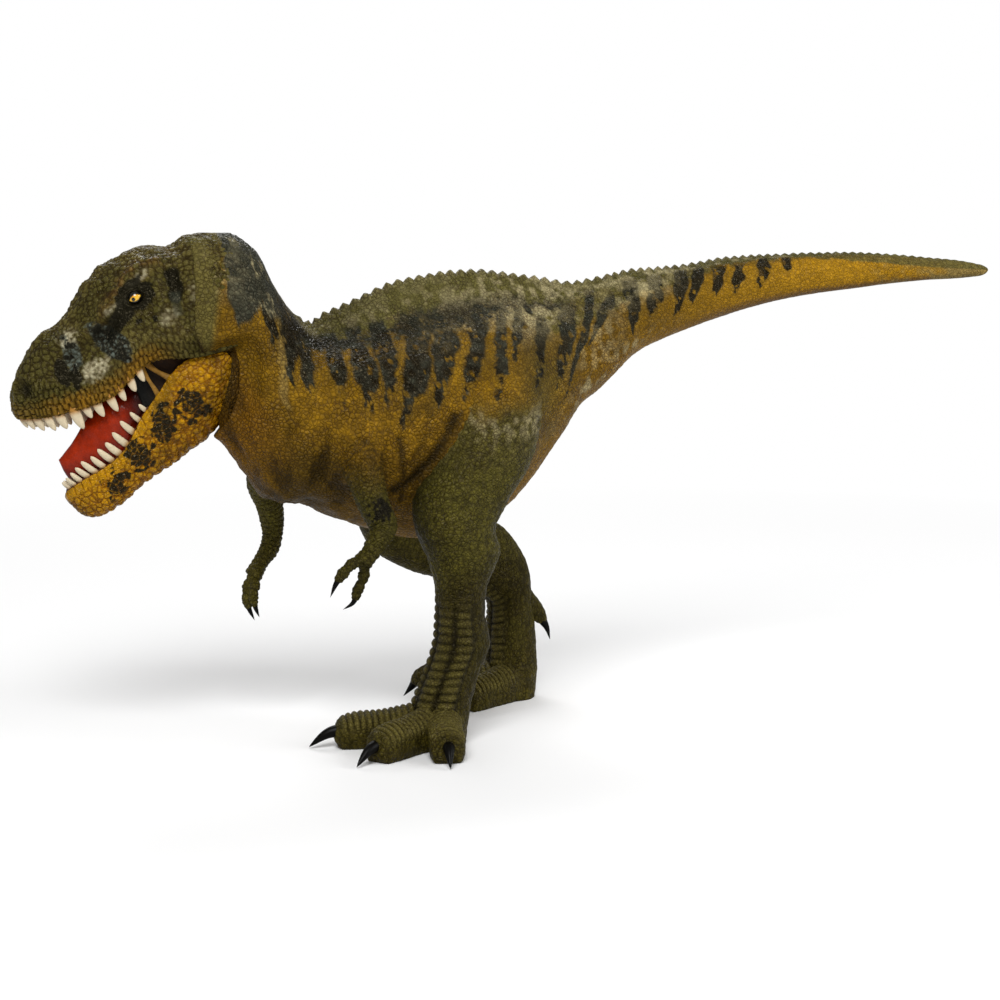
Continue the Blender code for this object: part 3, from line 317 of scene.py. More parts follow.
def mixed(base: Array, colour: Array, cover: Array) -> Array:
    """Straight mix of two colours: base where cover is 0, colour where it is 1."""
    share = held(cover)[..., None]
    return base * (1.0 - share) + colour * share


def coated(base: Array, *coats: tuple[Array, Array]) -> Array:
    """Coats of paint one over another.

    Args:
        base: Colour of the ground, for all places or for each.
        coats: Colour and cover of each coat.

    Returns:
        Colour at each place.
    """
    for colour, cover in coats:
        base = mixed(base, colour, cover)
    return base


def scatter(cells: Array, seed: int) -> Array:
    """Even numbers from 0 to 1: products with large primes, with their bits folded.

    Args:
        cells: Three whole numbers for each place.
        seed: Which set of numbers.

    Returns:
        One number for each place.
    """
    grid = cells.astype(np.int64)
    total = grid[..., 0] * 374761393 + grid[..., 1] * 668265263 + grid[..., 2] * 2246822519
    total = (total + seed * 3266489917) & 0xFFFFFFFF
    total = ((total ^ (total >> 13)) * 1274126177) & 0xFFFFFFFF
    return ((total ^ (total >> 16)) & 0xFFFFFFFF) / 4294967295.0


def noise(points: Array, size: float, seed: int) -> Array:
    """Smooth noise from -1 to 1: random numbers at the corners of cubes, softly mixed inside.

    Args:
        points: Places, with x, y, z last.
        size: Edge of a cube in metres.
        seed: Which noise.

    Returns:
        One number for each place.
    """
    spot = points / size
    base = np.floor(spot)
    share = spot - base
    share = share * share * (3.0 - 2.0 * share)
    total = np.zeros(points.shape[:-1])
    for corner in np.ndindex(2, 2, 2):
        weight = np.ones(points.shape[:-1])
        for axis, step in enumerate(corner):
            weight = weight * (share[..., axis] if step else 1.0 - share[..., axis])
        total += weight * scatter(base + np.array(corner), seed)
    return total * 2.0 - 1.0


def layered(points: Array, size: float, layers: int, seed: int) -> Array:
    """Noise in layers: each layer is half the size and half the height of the one before."""
    return sum(noise(points, size / 2 ** layer, seed + layer) / 2 ** layer for layer in range(layers))


def scale_cells(points: Array, size: float, seed: int) -> tuple[Array, Array]:
    """Scales as cells round scattered points in space.

    Args:
        points: Places, with x, y, z last.
        size: Usual width of a scale in metres.
        seed: Which set of scales.

    Returns:
        Difference of the distances to the two nearest cell points (0 on the groove between two
        scales), and an even number from 0 to 1 that is the same all over one scale.
    """
    spot = points / size
    base = np.floor(spot)
    near = np.full(points.shape[:-1], 9.0)
    second = near.copy()
    name = np.zeros_like(near)
    for step in np.ndindex(3, 3, 3):
        cell = base + (np.array(step) - 1)
        jitter = np.stack([scatter(cell, seed + k) for k in range(3)], axis=-1)
        far = np.linalg.norm(cell + jitter - spot, axis=-1)
        nearer = far < near
        second = np.where(nearer, near, np.minimum(second, far))
        name = np.where(nearer, jitter[..., 0], name)
        near = np.where(nearer, far, near)
    return second - near, name


def bead(edge: Array) -> Array:
    """Round top of a scale: a quarter circle from 0 on its groove to 1 at 0.7 from it."""
    return np.sqrt(np.maximum(1 - (1 - held(edge / 0.7)) ** 2, 0.0))


def scratches(points: Array, size: float, seed: int) -> Array:
    """Thin wandering lines from 0 to 1: where smooth noise passes through zero, in patches."""
    line = bell(noise(points, size, seed) + 0.4 * noise(points, size / 2.3, seed + 1), 0.10)
    return line * ease(-0.2, 0.5, noise(points, 2.2 * size, seed + 2))


def read_table(table: Array, at: Array) -> Array:
    """Rows of a table between its own rows, by cubic curves with shared slopes.

    Args:
        table: The table, whose first column is the place of each row.
        at: Places to read.

    Returns:
        One row for each place.
    """
    at = np.asarray(at, dtype=float)
    place = table[:, 0]
    slope = np.gradient(table, place, axis=0)
    left = np.clip(np.searchsorted(place, at) - 1, 0, len(place) - 2)
    span = (place[left + 1] - place[left])[..., None]
    t = (at - place[left])[..., None] / span
    return ((1 + 2 * t) * (1 - t) ** 2 * table[left] + t * (1 - t) ** 2 * slope[left] * span
            + t * t * (3 - 2 * t) * table[left + 1] + t * t * (t - 1) * slope[left + 1] * span)


def running_length(points: Array) -> Array:
    """Length along a line up to each of its points: the sum of the steps before it."""
    return np.concatenate(([0.0], np.cumsum(np.linalg.norm(np.diff(points, axis=0), axis=1))))


def even_rows(points: Array, count: int) -> Array:
    """Rows of a smooth curve through the points, evenly spaced by their running length."""
    table = np.column_stack((running_length(points[:, :3]), points))
    return read_table(table, np.linspace(0.0, table[-1, 0], count))[:, 1:]


def line_distance(x: Array, z: Array, corners: tuple, scale: float = MM) -> Array:
    """Distance to a line through corners: the least over its straight pieces.

    Args:
        x: First coordinate of each place.
        z: Second coordinate of each place.
        corners: The line's corners.
        scale: Length of the corners' unit.

    Returns:
        The distance at each place.
    """
    least = np.full(x.shape, np.inf)
    for (ax, az), (bx, bz) in zip(corners[:-1], corners[1:]):
        run, rise = (bx - ax) * scale, (bz - az) * scale
        t = held(((x - ax * scale) * run + (z - az * scale) * rise) / (run ** 2 + rise ** 2))
        far = np.hypot(x - ax * scale - t * run, z - az * scale - t * rise)
        least = np.minimum(least, far)
    return least


def spot_share(x: Array, z: Array, centre: tuple, radii: tuple, turn: float = 0.0) -> Array:
    """Share of an oval's radius at each place: 0 in its middle, 1 on its rim.

    Args:
        x: First coordinate of each place.
        z: Second coordinate of each place.
        centre: Middle of the oval in millimetres.
        radii: Its two radii in millimetres.
        turn: Its turn in degrees.

    Returns:
        The share at each place.
    """
    dx, dz = x - centre[0] * MM, z - centre[1] * MM
    cos, sin = math.cos(math.radians(turn)), math.sin(math.radians(turn))
    return np.hypot((dx * cos + dz * sin) / (radii[0] * MM), (dz * cos - dx * sin) / (radii[1] * MM))


# Grids

def full_turn(count: int) -> Array:
    """Turns evenly spaced round a circle."""
    return np.linspace(0, 2 * math.pi, count, endpoint=False)


def unit(vectors: Array) -> Array:
    """Directions of vectors: each over its own length."""
    return vectors / np.maximum(np.linalg.norm(vectors, axis=-1, keepdims=True), 1e-12)


def grid_volume(grid: Array) -> float:
    """Signed volume inside a grid closed in its second direction: a sixth of the triple products.

    Args:
        grid: Places by row and column.

    Returns:
        The volume, below zero where the faces look inwards.
    """
    after = np.roll(grid, -1, axis=1)
    centre = grid.mean(axis=(0, 1))
    a, b, c, d = grid[:-1] - centre, after[:-1] - centre, after[1:] - centre, grid[1:] - centre
    return float((np.cross(a, b) * c).sum() + (np.cross(a, c) * d).sum()) / 6


def grid_normals(grid: Array) -> Array:
    """Outward directions of a closed grid: cross product of its two sets of central steps."""
    out = unit(np.cross(np.roll(grid, -1, axis=1) - np.roll(grid, 1, axis=1), np.gradient(grid, axis=0)))
    return out if grid_volume(grid) > 0 else -out


def tube_grid(path: Array, radii: Array, columns: int) -> Array:
    """A round limb: circles square to the path, without twist.

    Args:
        path: Middle line.
        radii: Radius at each of its points.
        columns: Places round each circle.

    Returns:
        The limb's grid.
    """
    ahead = unit(np.gradient(path, axis=0))
    side = unit(np.array((0.0, 1.0, 0.0)) - ahead * ahead[:, 1:2])
    other, turn = np.cross(ahead, side), full_turn(columns)
    return (path[:, None] + other[:, None] * (np.cos(turn)[None] * radii[:, None])[..., None]
            + side[:, None] * (np.sin(turn)[None] * radii[:, None])[..., None])


def fillet(grid: Array, out: Array, others: list, radius: Array) -> Array:
    """How far a skin swells near another skin, so that the two run into each other softly.

    The swelling is a quarter of the radius times the square of one minus the distance over it.

    Args:
        grid: Places of this skin.
        out: Its outward directions.
        others: Pairs of places and outward directions of the other skins, coarsely sampled.
        radius: Reach of the soft joint at each place.

    Returns:
        The swelling at each place in metres.
    """
    flat = grid.reshape(-1, 3)
    reach = np.broadcast_to(radius, grid.shape[:-1]).reshape(-1)
    swell = np.zeros(len(flat))
    for spots, ways in others:
        low, high = spots.min(axis=0) - reach.max(), spots.max(axis=0) + reach.max()
        near = np.flatnonzero(np.all((flat > low) & (flat < high), axis=1) & (reach > 1e-5))
        if not len(near):
            continue
        for part in np.array_split(near, max(1, len(near) // 4000)):
            here = flat[part]
            far = (here ** 2).sum(1)[:, None] + (spots ** 2).sum(1)[None] - 2 * here @ spots.T
            best = far.argmin(axis=1)
            gap = here - spots[best]
            depth = np.abs((gap * ways[best]).sum(axis=1))
            tangent = np.sqrt(np.maximum((gap ** 2).sum(axis=1) - depth ** 2, 0.0))
            depth = depth + 0.6 * tangent
            lift = reach[part] / 4 * np.maximum(0.0, 1.0 - depth / reach[part]) ** 2
            swell[part] = np.maximum(swell[part], lift)
    return swell.reshape(grid.shape[:-1])


def coarse(grid: Array, rows: int, columns: int) -> tuple[Array, Array]:
    """Places and outward directions of a skin at about so many rows and columns."""
    pick = slice(None, None, max(1, len(grid) // rows)), slice(None, None, max(1, grid.shape[1] // columns))
    return grid[pick].reshape(-1, 3), grid_normals(grid)[pick].reshape(-1, 3)


# Frames of the figure

@dataclass
class Stance:
    """Where the figure's own tables lie in the row frame, and the box that it stays within."""

    pin_centre: Array
    limits: tuple[Array, Array]

    def __post_init__(self) -> None:
        """Work out the head's directions and the shift from the tables to the row frame."""
        turned = Matrix.Rotation(math.pi - HEAD_TURN, 3, "Z") @ Matrix.Rotation(HEAD_PITCH, 3, "Y")
        self.head_axes = np.array(turned)
        top, bottom = spine_line(np.array([HEAD_ANCHOR_SHARE]))[:2]
        self.hinge = (top[0] + bottom[0]) / 2 + np.array(HINGE_FROM_NECK_SHARES) * HEAD_LENGTH
        self.shift = self.pin_centre - self.hinge

    def from_head(self, local: Array) -> Array:
        """Places of the head's own frame in the tables' frame: turned, then moved to the hinge."""
        return local @ self.head_axes.T + self.hinge

    def to_head(self, places: Array) -> Array:
        """Places of the tables' frame in the head's own frame."""
        return (places - self.hinge) @ self.head_axes


def spine_line(places: Array) -> tuple[Array, Array, Array, Array, Array]:
    """Lines of the body's sections.

    Args:
        places: Shares of the body length.

    Returns:
        Top, bottom, side direction, half width and keel height at each place.
    """
    rows = read_table(SPINE_SHARES, places)
    middle, lean = rows[..., 0] * BODY_LENGTH, rows[..., 1] * BODY_LENGTH / 2
    swing = rows[..., 6] * TAIL_SWING
    top = np.stack((middle + lean, swing, HIP_HEIGHT + rows[..., 2] * BODY_DEPTH), axis=-1)
    bottom = np.stack((middle - lean, swing, HIP_HEIGHT + rows[..., 3] * BODY_DEPTH), axis=-1)
    later, earlier = read_table(SPINE_SHARES, places + 0.01), read_table(SPINE_SHARES, places - 0.01)
    run = (later[..., 0] - earlier[..., 0]) * BODY_LENGTH
    drift = (later[..., 6] - earlier[..., 6]) * TAIL_SWING
    side = unit(np.stack((-drift, run, np.zeros_like(run)), axis=-1))
    return top, bottom, side, rows[..., 4] * BODY_WIDTH / 2, rows[..., 5] * KEEL_HEIGHT


def body_surface(place: Array, angle: Array) -> tuple[Array, Array, Array]:
    """Skin of neck, torso and tail: an oval flank with a narrow keel on top.

    Args:
        place: Share of the body length at each point of the grid.
        angle: Turn from the top line round the body, in radians.

    Returns:
        Places, the keel's share (1 on its crest) and the distance across in metres.
    """
    top, bottom, side, half, keel = spine_line(place)
    axis = unit(top - bottom)
    flank_top = top - axis * keel[..., None]
    reach = np.linalg.norm(flank_top - bottom, axis=-1) / 2
    out = half * np.sin(angle)
    ridge = bell(out, KEEL_WIDTH) * (np.cos(angle) > 0)
    up = reach * np.cos(angle) + keel * ridge
    return (flank_top + bottom) / 2 + axis * up[..., None] + side * out[..., None], ridge, out


# Meshes

@dataclass
class Moulding:
    """One piece: closed grids put together in a single mesh with its paint and gloss."""

    name: str
    stance: Stance
    places: list[Array] = field(default_factory=list)
    faces: list[Array] = field(default_factory=list)
    paints: list[Array] = field(default_factory=list)
    glosses: list[Array] = field(default_factory=list)
    count: int = 0

    def add(self, grid: Array, colours: Array, gloss: Array | float) -> None:
        """Add a closed grid, with a fan of triangles at each end.

        Args:
            grid: Places by row and column, closed in the column direction.
            colours: Linear colour for each place, or one for all.
            gloss: Gloss from 0 to 1 for each place, or one for all.
        """
        rows, columns = grid.shape[:2]
        index = np.arange(rows * columns).reshape(rows, columns) + self.count
        after = np.roll(index, -1, axis=1)
        quads = np.stack((index[:-1], after[:-1], after[1:], index[1:]), axis=-1).reshape(-1, 4)
        first = self.count + rows * columns
        start = np.stack((after[0], index[0], np.full(columns, first)), axis=-1)
        end = np.stack((index[-1], after[-1], np.full(columns, first + 1)), axis=-1)
        if grid_volume(grid) < 0:
            quads, start, end = quads[:, ::-1], start[:, ::-1], end[:, ::-1]
        fan = np.concatenate((start, end))
        self.faces.append(np.concatenate((quads, np.column_stack((fan, np.full(len(fan), -1))))))
        colours = np.broadcast_to(colours, grid.shape)
        for values, kept in ((grid, self.places), (colours, self.paints)):
            poles = np.stack((values[0].mean(axis=0), values[-1].mean(axis=0)))
            kept.append(np.concatenate((values.reshape(-1, 3), poles)))
        gloss = np.broadcast_to(gloss, (rows, columns))
        self.glosses.append(np.concatenate((gloss.reshape(-1), (gloss[0, 0], gloss[-1, 0]))))
        self.count += rows * columns + 2

    def finish(self, material: bpy.types.Material, body: str, slot: str, node: str = "") -> bpy.types.Object:
        """Make the mesh and its object, and tell the frame where it goes.

        Args:
            material: Finish of the piece.
            body: Body that it rides on, or nothing.
            slot: Not used.
            node: CAD node that it stands for, if it does.

        Returns:
            The object, at the origin.
        """
        places = np.clip(np.concatenate(self.places) + self.stance.shift, *self.stance.limits)
        faces = np.concatenate(self.faces)
        real = faces >= 0
        totals = real.sum(axis=1).astype(np.int32)
        corners = faces[real].astype(np.int32)
        mesh = bpy.data.meshes.new(self.name)
        mesh.vertices.add(len(places))
        mesh.vertices.foreach_set("co", places.astype(np.float32).ravel())
        mesh.loops.add(len(corners))
        mesh.loops.foreach_set("vertex_index", corners)
        mesh.polygons.add(len(totals))
        mesh.polygons.foreach_set("loop_start", (np.cumsum(totals) - totals).astype(np.int32))
        mesh.polygons.foreach_set("loop_total", totals)
        mesh.update(calc_edges=True)
        mesh.shade_smooth()
        colours = np.column_stack((np.concatenate(self.paints), np.ones(len(places))))
        tint = mesh.attributes.new("paint", "FLOAT_COLOR", "POINT")
        tint.data.foreach_set("color", colours.astype(np.float32).ravel())
        shine = mesh.attributes.new("gloss", "FLOAT", "POINT")
        shine.data.foreach_set("value", np.concatenate(self.glosses).astype(np.float32))
        mesh.materials.append(material)
        piece = bpy.data.objects.new(self.name, mesh)
        bpy.context.scene.collection.objects.link(piece)
        if body:
            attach(piece, body)
        if node:
            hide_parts(node)
        LOG.info("%s: %d places, %d triangles", self.name, len(places), int((totals - 2).sum()))
        return piece


# Finishes

class NodeBench:
    """The node tree of a material or of the world, with short ways to add and join nodes."""

    def __init__(self, holder: bpy.types.Material | bpy.types.World) -> None:
        """Start with the main shader of a new material or world.

        Args:
            holder: The material or world.
        """
        holder.use_nodes = True
        self.holder, self.tree = holder, holder.node_tree
        world = isinstance(holder, bpy.types.World)
        self.shader = self.tree.nodes["Background" if world else "Principled BSDF"]

    def fill(self, node: bpy.types.Node, inputs: dict) -> None:
        """Give a node its inputs.

        Args:
            node: The node.
            inputs: For the name or number of each input, a socket to join or a constant.
        """
        for key, value in inputs.items():
            socket = node.inputs[key]
            if isinstance(value, bpy.types.NodeSocket):
                self.tree.links.new(value, socket)
            else:
                socket.default_value = (*value, 1.0) if socket.type == "RGBA" else value

    def add(self, kind: str, inputs: dict | None = None, **settings: object) -> bpy.types.Node:
        """Add a node.

        Args:
            kind: Its kind.
            inputs: Its inputs, as in fill.
            settings: Its other properties.

        Returns:
            The node.
        """
        node = self.tree.nodes.new("ShaderNode" + kind)
        for key, value in settings.items():
            setattr(node, key, value)
        self.fill(node, inputs or {})
        return node

    def place(self) -> bpy.types.NodeSocket:
        """Coordinates in the row frame, in metres."""
        return self.add("TexCoord").outputs["Object"]

    def attribute(self, name: str, output: str) -> bpy.types.NodeSocket:
        """The piece's own attribute of a name."""
        return self.add("Attribute", attribute_name=name).outputs[output]

    def ranged(self, source: bpy.types.NodeSocket, low: float, high: float, to_low: float,
               to_high: float) -> bpy.types.NodeSocket:
        """A value moved from one range to another along a straight line, clipped at both ends."""
        return self.add("MapRange", {"Value": source, "From Min": low, "From Max": high, "To Min": to_low,
                                     "To Max": to_high}).outputs["Result"]

    def blend(self, kind: str, share: object, first: object, second: object) -> bpy.types.NodeSocket:
        """Two colours mixed in one of the usual ways; each input is a socket or a constant."""
        return self.add("Mix", {0: share, 6: first, 7: second}, data_type="RGBA", blend_type=kind).outputs[2]

    def maths(self, kind: str, *values: object) -> bpy.types.NodeSocket:
        """A sum, product or other simple rule of values, each a socket or a constant."""
        return self.add("Math", dict(enumerate(values)), operation=kind).outputs[0]

    def grey(self, value: bpy.types.NodeSocket) -> bpy.types.NodeSocket:
        """Grey of one value."""
        return self.add("CombineColor", {0: value, 1: value, 2: value}).outputs[0]

    def noise(self, source: bpy.types.NodeSocket, size: float, detail: float) -> bpy.types.NodeSocket:
        """Cloudy noise whose lumps are about so many metres wide."""
        return self.add("TexNoise", {"Vector": source, "Scale": 1.0 / size, "Detail": detail}).outputs["Fac"]

    def bump(self, height: bpy.types.NodeSocket, strength: float, depth: float) -> None:
        """Bump on the main shader, of a height from 0 to 1 over a depth in metres."""
        bump = self.add("Bump", {"Strength": strength, "Distance": depth, "Height": height})
        self.fill(self.shader, {"Normal": bump.outputs["Normal"]})


@dataclass(frozen=True)
class HideFinish:
    """Painted hide: painted colour, small scales with dark wash in their grooves, satin paint.

    A scale is a cell of a cell pattern bent by noise. Its groove takes the wash, its dome takes
    the bump, and each scale has its own tint.
    """

    name: str
    scale_size: float
    wash_share: float
    bump_depth: float
    rough_low: float = 0.46
    rough_high: float = 0.66
    groove: float = 0.13
    specular: float = 0.14

    def build(self) -> bpy.types.Material:
        """Make the material."""
        bench = NodeBench(bpy.data.materials.new(self.name))
        place = bench.place()
        bend = bench.add("TexNoise", {"Vector": place, "Scale": 0.5 / self.scale_size}).outputs["Color"]
        push = bench.add("VectorMath", {0: bend, 1: (self.scale_size * 1.1,) * 3, 2: place},
                         operation="MULTIPLY_ADD").outputs[0]
        cells = {"Vector": push, "Scale": 1.0 / self.scale_size}
        edge = bench.add("TexVoronoi", cells, feature="DISTANCE_TO_EDGE").outputs["Distance"]
        cell = bench.add("TexVoronoi", cells, feature="F1").outputs["Color"]
        own = bench.ranged(bench.add("SeparateColor", {0: cell}).outputs[0], 0.0, 1.0, 0.88, 1.12)
        shaded = bench.blend("MULTIPLY", 1.0, bench.attribute("paint", "Color"), bench.grey(own))
        patch = bench.ranged(bench.noise(place, 7 * MM, 4.0), 0.35, 0.65, 0.0, 1.0)
        wash_here = bench.ranged(patch, 0.0, 1.0, 0.55 * self.wash_share, self.wash_share)
        dip = bench.ranged(edge, 0.0, self.groove, 1.0, 0.0)
        washed = bench.blend("MULTIPLY", bench.maths("MULTIPLY", dip, wash_here), shaded, Paints.WASH)
        grain = bench.noise(place, 0.6 * MM, 3.0)
        rub = bench.ranged(grain, 0.60, 0.75, 0.0, 0.07)
        rough = bench.ranged(patch, 0.0, 1.0, self.rough_high, self.rough_low)
        lower = bench.maths("MULTIPLY", bench.attribute("gloss", "Fac"), 0.38)
        dome = bench.ranged(edge, 0.0, 2.2 * self.groove, 0.0, 1.0)
        bench.bump(bench.maths("MULTIPLY_ADD", grain, 0.18, dome), 0.9, self.bump_depth)
        bench.fill(bench.shader, {
            "Base Color": bench.blend("MIX", rub, washed, Paints.DUST * 0.8),
            "Roughness": bench.maths("SUBTRACT", rough, lower),
            "Specular IOR Level": self.specular, "Specular Tint": (1.0, 0.86, 0.55)})
        return bench.holder


@dataclass(frozen=True)
class SmoothFinish:
    """Painted smooth parts, such as teeth, claws, tongue and eyes, with fine streaks and wear."""

    name: str
    rough_low: float
    rough_high: float
    streak_size: float
    streak_share: float
    bump_depth: float
    coat: float = 0.0
    metallic: float = 0.0
    tone: tuple[float, float, float] | None = None
    specular: float = 0.35

    def build(self) -> bpy.types.Material:
        """Make the material, in its tone or, without one, in the piece's own paint."""
        bench = NodeBench(bpy.data.materials.new(self.name))
        place = bench.place()
        streak = bench.noise(place, self.streak_size, 4.0)
        dark = bench.ranged(streak, 0.3, 0.7, 1.0 - self.streak_share, 1.0 + self.streak_share / 2)
        source = self.tone or bench.attribute("paint", "Color")
        fine = bench.noise(place, self.streak_size / 4, 3.0)
        bench.bump(fine, 0.6, self.bump_depth)
        bench.fill(bench.shader, {
            "Base Color": bench.blend("MULTIPLY", 1.0, source, bench.grey(dark)),
            "Roughness": bench.ranged(fine, 0.3, 0.7, self.rough_low, self.rough_high),
            "Specular IOR Level": self.specular, "Coat Weight": self.coat, "Coat Roughness": 0.12,
            "Metallic": self.metallic})
        return bench.holder


class Finishes:
    """All finishes of the figure, made once."""

    def __init__(self) -> None:
        """Make the materials."""
        self.body = HideFinish("painted_body_hide", 1.15 * MM, 0.80, 0.34 * MM, groove=0.16).build()
        self.tail = HideFinish("painted_tail_hide", 1.10 * MM, 0.55, 0.22 * MM).build()
        self.head = HideFinish("painted_head_hide", 0.9 * MM, 0.30, 0.13 * MM, 0.38, 0.56,
                               specular=0.15).build()
        self.jaw = HideFinish("painted_jaw_hide", 1.0 * MM, 0.34, 0.16 * MM, 0.32, 0.48,
                              specular=0.20).build()
        self.limb = HideFinish("painted_limb_hide", 1.05 * MM, 0.80, 0.28 * MM, groove=0.15).build()
        self.tooth = SmoothFinish("painted_ivory_teeth", 0.24, 0.40, 0.9 * MM, 0.08, 0.04 * MM).build()
        self.tongue = SmoothFinish("glossy_red_tongue", 0.16, 0.34, 1.6 * MM, 0.25, 0.20 * MM, 0.16,
                                   specular=0.12).build()
        self.claw = SmoothFinish("glossy_black_claws", 0.26, 0.40, 0.8 * MM, 0.30, 0.05 * MM,
                                 specular=0.10).build()
        self.eye = SmoothFinish("glossy_painted_eye", 0.05, 0.10, 0.5 * MM, 0.10, 0.01 * MM, 0.6).build()
        self.mouth = SmoothFinish("satin_mouth_lining", 0.40, 0.60, 1.8 * MM, 0.35, 0.25 * MM,
                                  specular=0.15).build()
        self.steel = SmoothFinish("plain_steel_pin", 0.28, 0.42, 0.4 * MM, 0.12, 0.02 * MM, 0.0, 1.0,
                                  (0.55, 0.55, 0.56)).build()


# Skins

@dataclass
class Skin:
    """A skin laid on one grid: its piece's name, body and slot, and the CAD node it stands for."""

    stance: Stance
    name: str
    body: str
    node: str
    slot: str

    def colours(self) -> tuple[Array, Array]:
        """Paint and gloss of each place, which every skin has of its own."""
        raise NotImplementedError

    def build(self, finish: bpy.types.Material) -> None:
        """Make the piece from the raised places.

        Args:
            finish: Finish of the piece.
        """
        self.tint, gloss = self.colours()
        shell = Moulding(self.name, self.stance)
        shell.add(self.points, self.tint, gloss)
        shell.finish(finish, self.body, self.slot, self.node)


@dataclass
class BodySkin(Skin):
    """Skin of the neck and torso, or of the tail, on one set of formulas."""

    start: float
    end: float
    rows: int
    columns: int
    spike_pitch: float
    spike_height: float = 1.5 * MM
    spike_width: float = 1.3 * MM

    def grid(self) -> None:
        """Lay the grid: rows along the spine, columns crowded towards the top line."""
        even = full_turn(self.columns)
        angle = even - 0.45 * np.sin(even)
        height = (1 - np.cos(angle)) / 2
        first = np.full(self.columns, self.start)
        self.has_neck = self.start < -0.3
        if self.has_neck:
            first = np.interp(height, (0.0, 0.5, 0.68, 0.8, 1.0), (-0.42, -0.41, -0.392, -0.380, -0.366))
        self.place = first + (self.end - first) * np.linspace(0, 1, self.rows)[:, None]
        self.angle = np.broadcast_to(angle, self.place.shape)
        self.height = np.broadcast_to(height, self.place.shape)
        self.plain, self.ridge, self.across = body_surface(self.place, self.angle)
        self.out = grid_normals(self.plain)

    def leave_jaw_room(self, points: Array) -> Array:
        """Keep the neck behind the curve that the lower jaw sweeps.

        Args:
            points: Places of the neck.

        Returns:
            The places, narrowed and cut back where the jaw needs room.
        """
        local = self.stance.to_head(points)
        level = local[..., 2] / HEAD_LENGTH
        edge = np.interp(level, ROOM_SHARES[:, 0], ROOM_SHARES[:, 1]) * HEAD_LENGTH - 0.8 * MM
        below = level < 0.075
        self.cut = ease(0.4 * MM, 1.4 * MM, local[..., 0] - edge) * below
        behind = np.maximum(edge - local[..., 0], 0.0) / MM
        across = np.abs(local[..., 1])
        limit = (12.0 + 0.075 * behind ** 2) * MM
        narrow = (across + limit - np.sqrt((across - limit) ** 2 + (1.6 * MM) ** 2)) / 2
        share = ease(9.0, 6.0, behind) * ease(-0.42, -0.34, level) * ease(0.14, 0.06, level)
        local[..., 1] *= 1 - share + share * narrow / np.maximum(across, 1e-6)
        local[..., 0] = np.where(below, np.minimum(local[..., 0], edge), local[..., 0])
        return self.stance.from_head(local)

    def flank_line(self, *corners: tuple) -> Array:
        """Distance to a line drawn on the flank, in mm along it and hundredths of the way down."""
        return line_distance(self.place * BODY_LENGTH / MM, self.height * 100, corners, 1.0)

    def raise_skin(self, others: list) -> None:
        """Raise spikes, scales, wrinkles, chest folds and soft joints along the outward way.

        Args:
            others: Coarse samples of the skins that it runs into.
        """
        points, place, height = self.plain, self.place, self.height
        size = np.clip(read_table(SPINE_SHARES, place)[..., 4] * BODY_WIDTH / 2 / (12 * MM), 0.25, 1.0)
        phase = (place + 0.318) * BODY_LENGTH / self.spike_pitch
        saw = 1 - np.abs(2 * (phase - np.floor(phase)) - 1)
        crest_on = ease(-0.325, -0.300, place) * (1 - 0.85 * ease(0.50, 0.62, place))
        middle = bell(self.across, self.spike_width * np.clip(size * 1.3, 0.3, 1.0))
        spikes = (self.spike_height * saw ** 0.8 * middle * crest_on * (np.cos(self.angle) > 0)
                  * np.clip(size * 1.2, 0.4, 1))
        edge, self.scale_tint = scale_cells(points, 1.9 * MM, 11)
        keel_side = self.ridge * ease(-0.30, -0.26, place) * (1 - middle)
        scales = (bead(edge) - 0.6) * (0.18 + 0.35 * keel_side) * MM * size
        stretched = points * np.array((1.0, 1.0, 0.22))
        folds = noise(stretched, 4.2 * MM, 31) + 0.5 * noise(stretched, 2.2 * MM, 32)
        chest = bell(place + 0.29, 0.075) * ease(0.42, 0.75, height)
        neck = bell(place + 0.365, 0.05) * ease(0.25, 0.6, height)
        arm_pit = bell(place + 0.215, 0.05) * bell(height - 0.72, 0.22)
        fold_cover = held(chest + neck + 0.7 * arm_pit)
        self.groin = bell(place + 0.16, 0.04) * bell(height - 0.78, 0.16)
        groin_folds = noise(points * np.array((0.35, 1.0, 1.0)), 3.4 * MM, 41)
        lumps = layered(points, 13 * MM, 2, 51) * 0.45 * MM * size
        fine = layered(points, 1.6 * MM, 2, 61) * 0.07 * MM * size
        self.dip = ((1 - ease(0.0, 0.32, edge)) * 0.42 + held(-folds * 1.5) * fold_cover * 1.05
                    + held(-groin_folds) * self.groin)
        self.crease = np.zeros_like(place)
        for depth, width, line in ((1.0, 2.0, ((-36, 44), (-39, 54), (-43, 64), (-48, 73), (-52, 80))),
                                   (0.8, 1.3, ((-53.5, 54), (-51, 68), (-49, 83))),
                                   (0.5, 1.3, ((-58, 62), (-56, 78))), (0.5, 1.3, ((-45, 52), (-49, 66)))):
            self.crease = np.maximum(self.crease, depth * bell(self.flank_line(*line), width))
        soft = 7 * MM - 5 * MM * bell(place + 0.185, 0.035) * ease(0.35, 0.6, height)
        lift = (spikes + scales + lumps + fine + 0.78 * MM * folds * fold_cover
                + 0.65 * MM * groin_folds * self.groin - 0.8 * MM * self.crease
                + fillet(points, self.out, others, soft))
        self.spike = spikes / self.spike_height
        self.points = points + self.out * lift[..., None]
        tip = held((place - TAIL_TIP_SHARE + 0.012) / 0.012)
        centre = self.points.mean(axis=1, keepdims=True)
        self.points = centre + (self.points - centre) * np.sqrt(1 - 0.97 * tip ** 2)[..., None]
        if self.has_neck:
            self.points = self.leave_jaw_room(self.points)

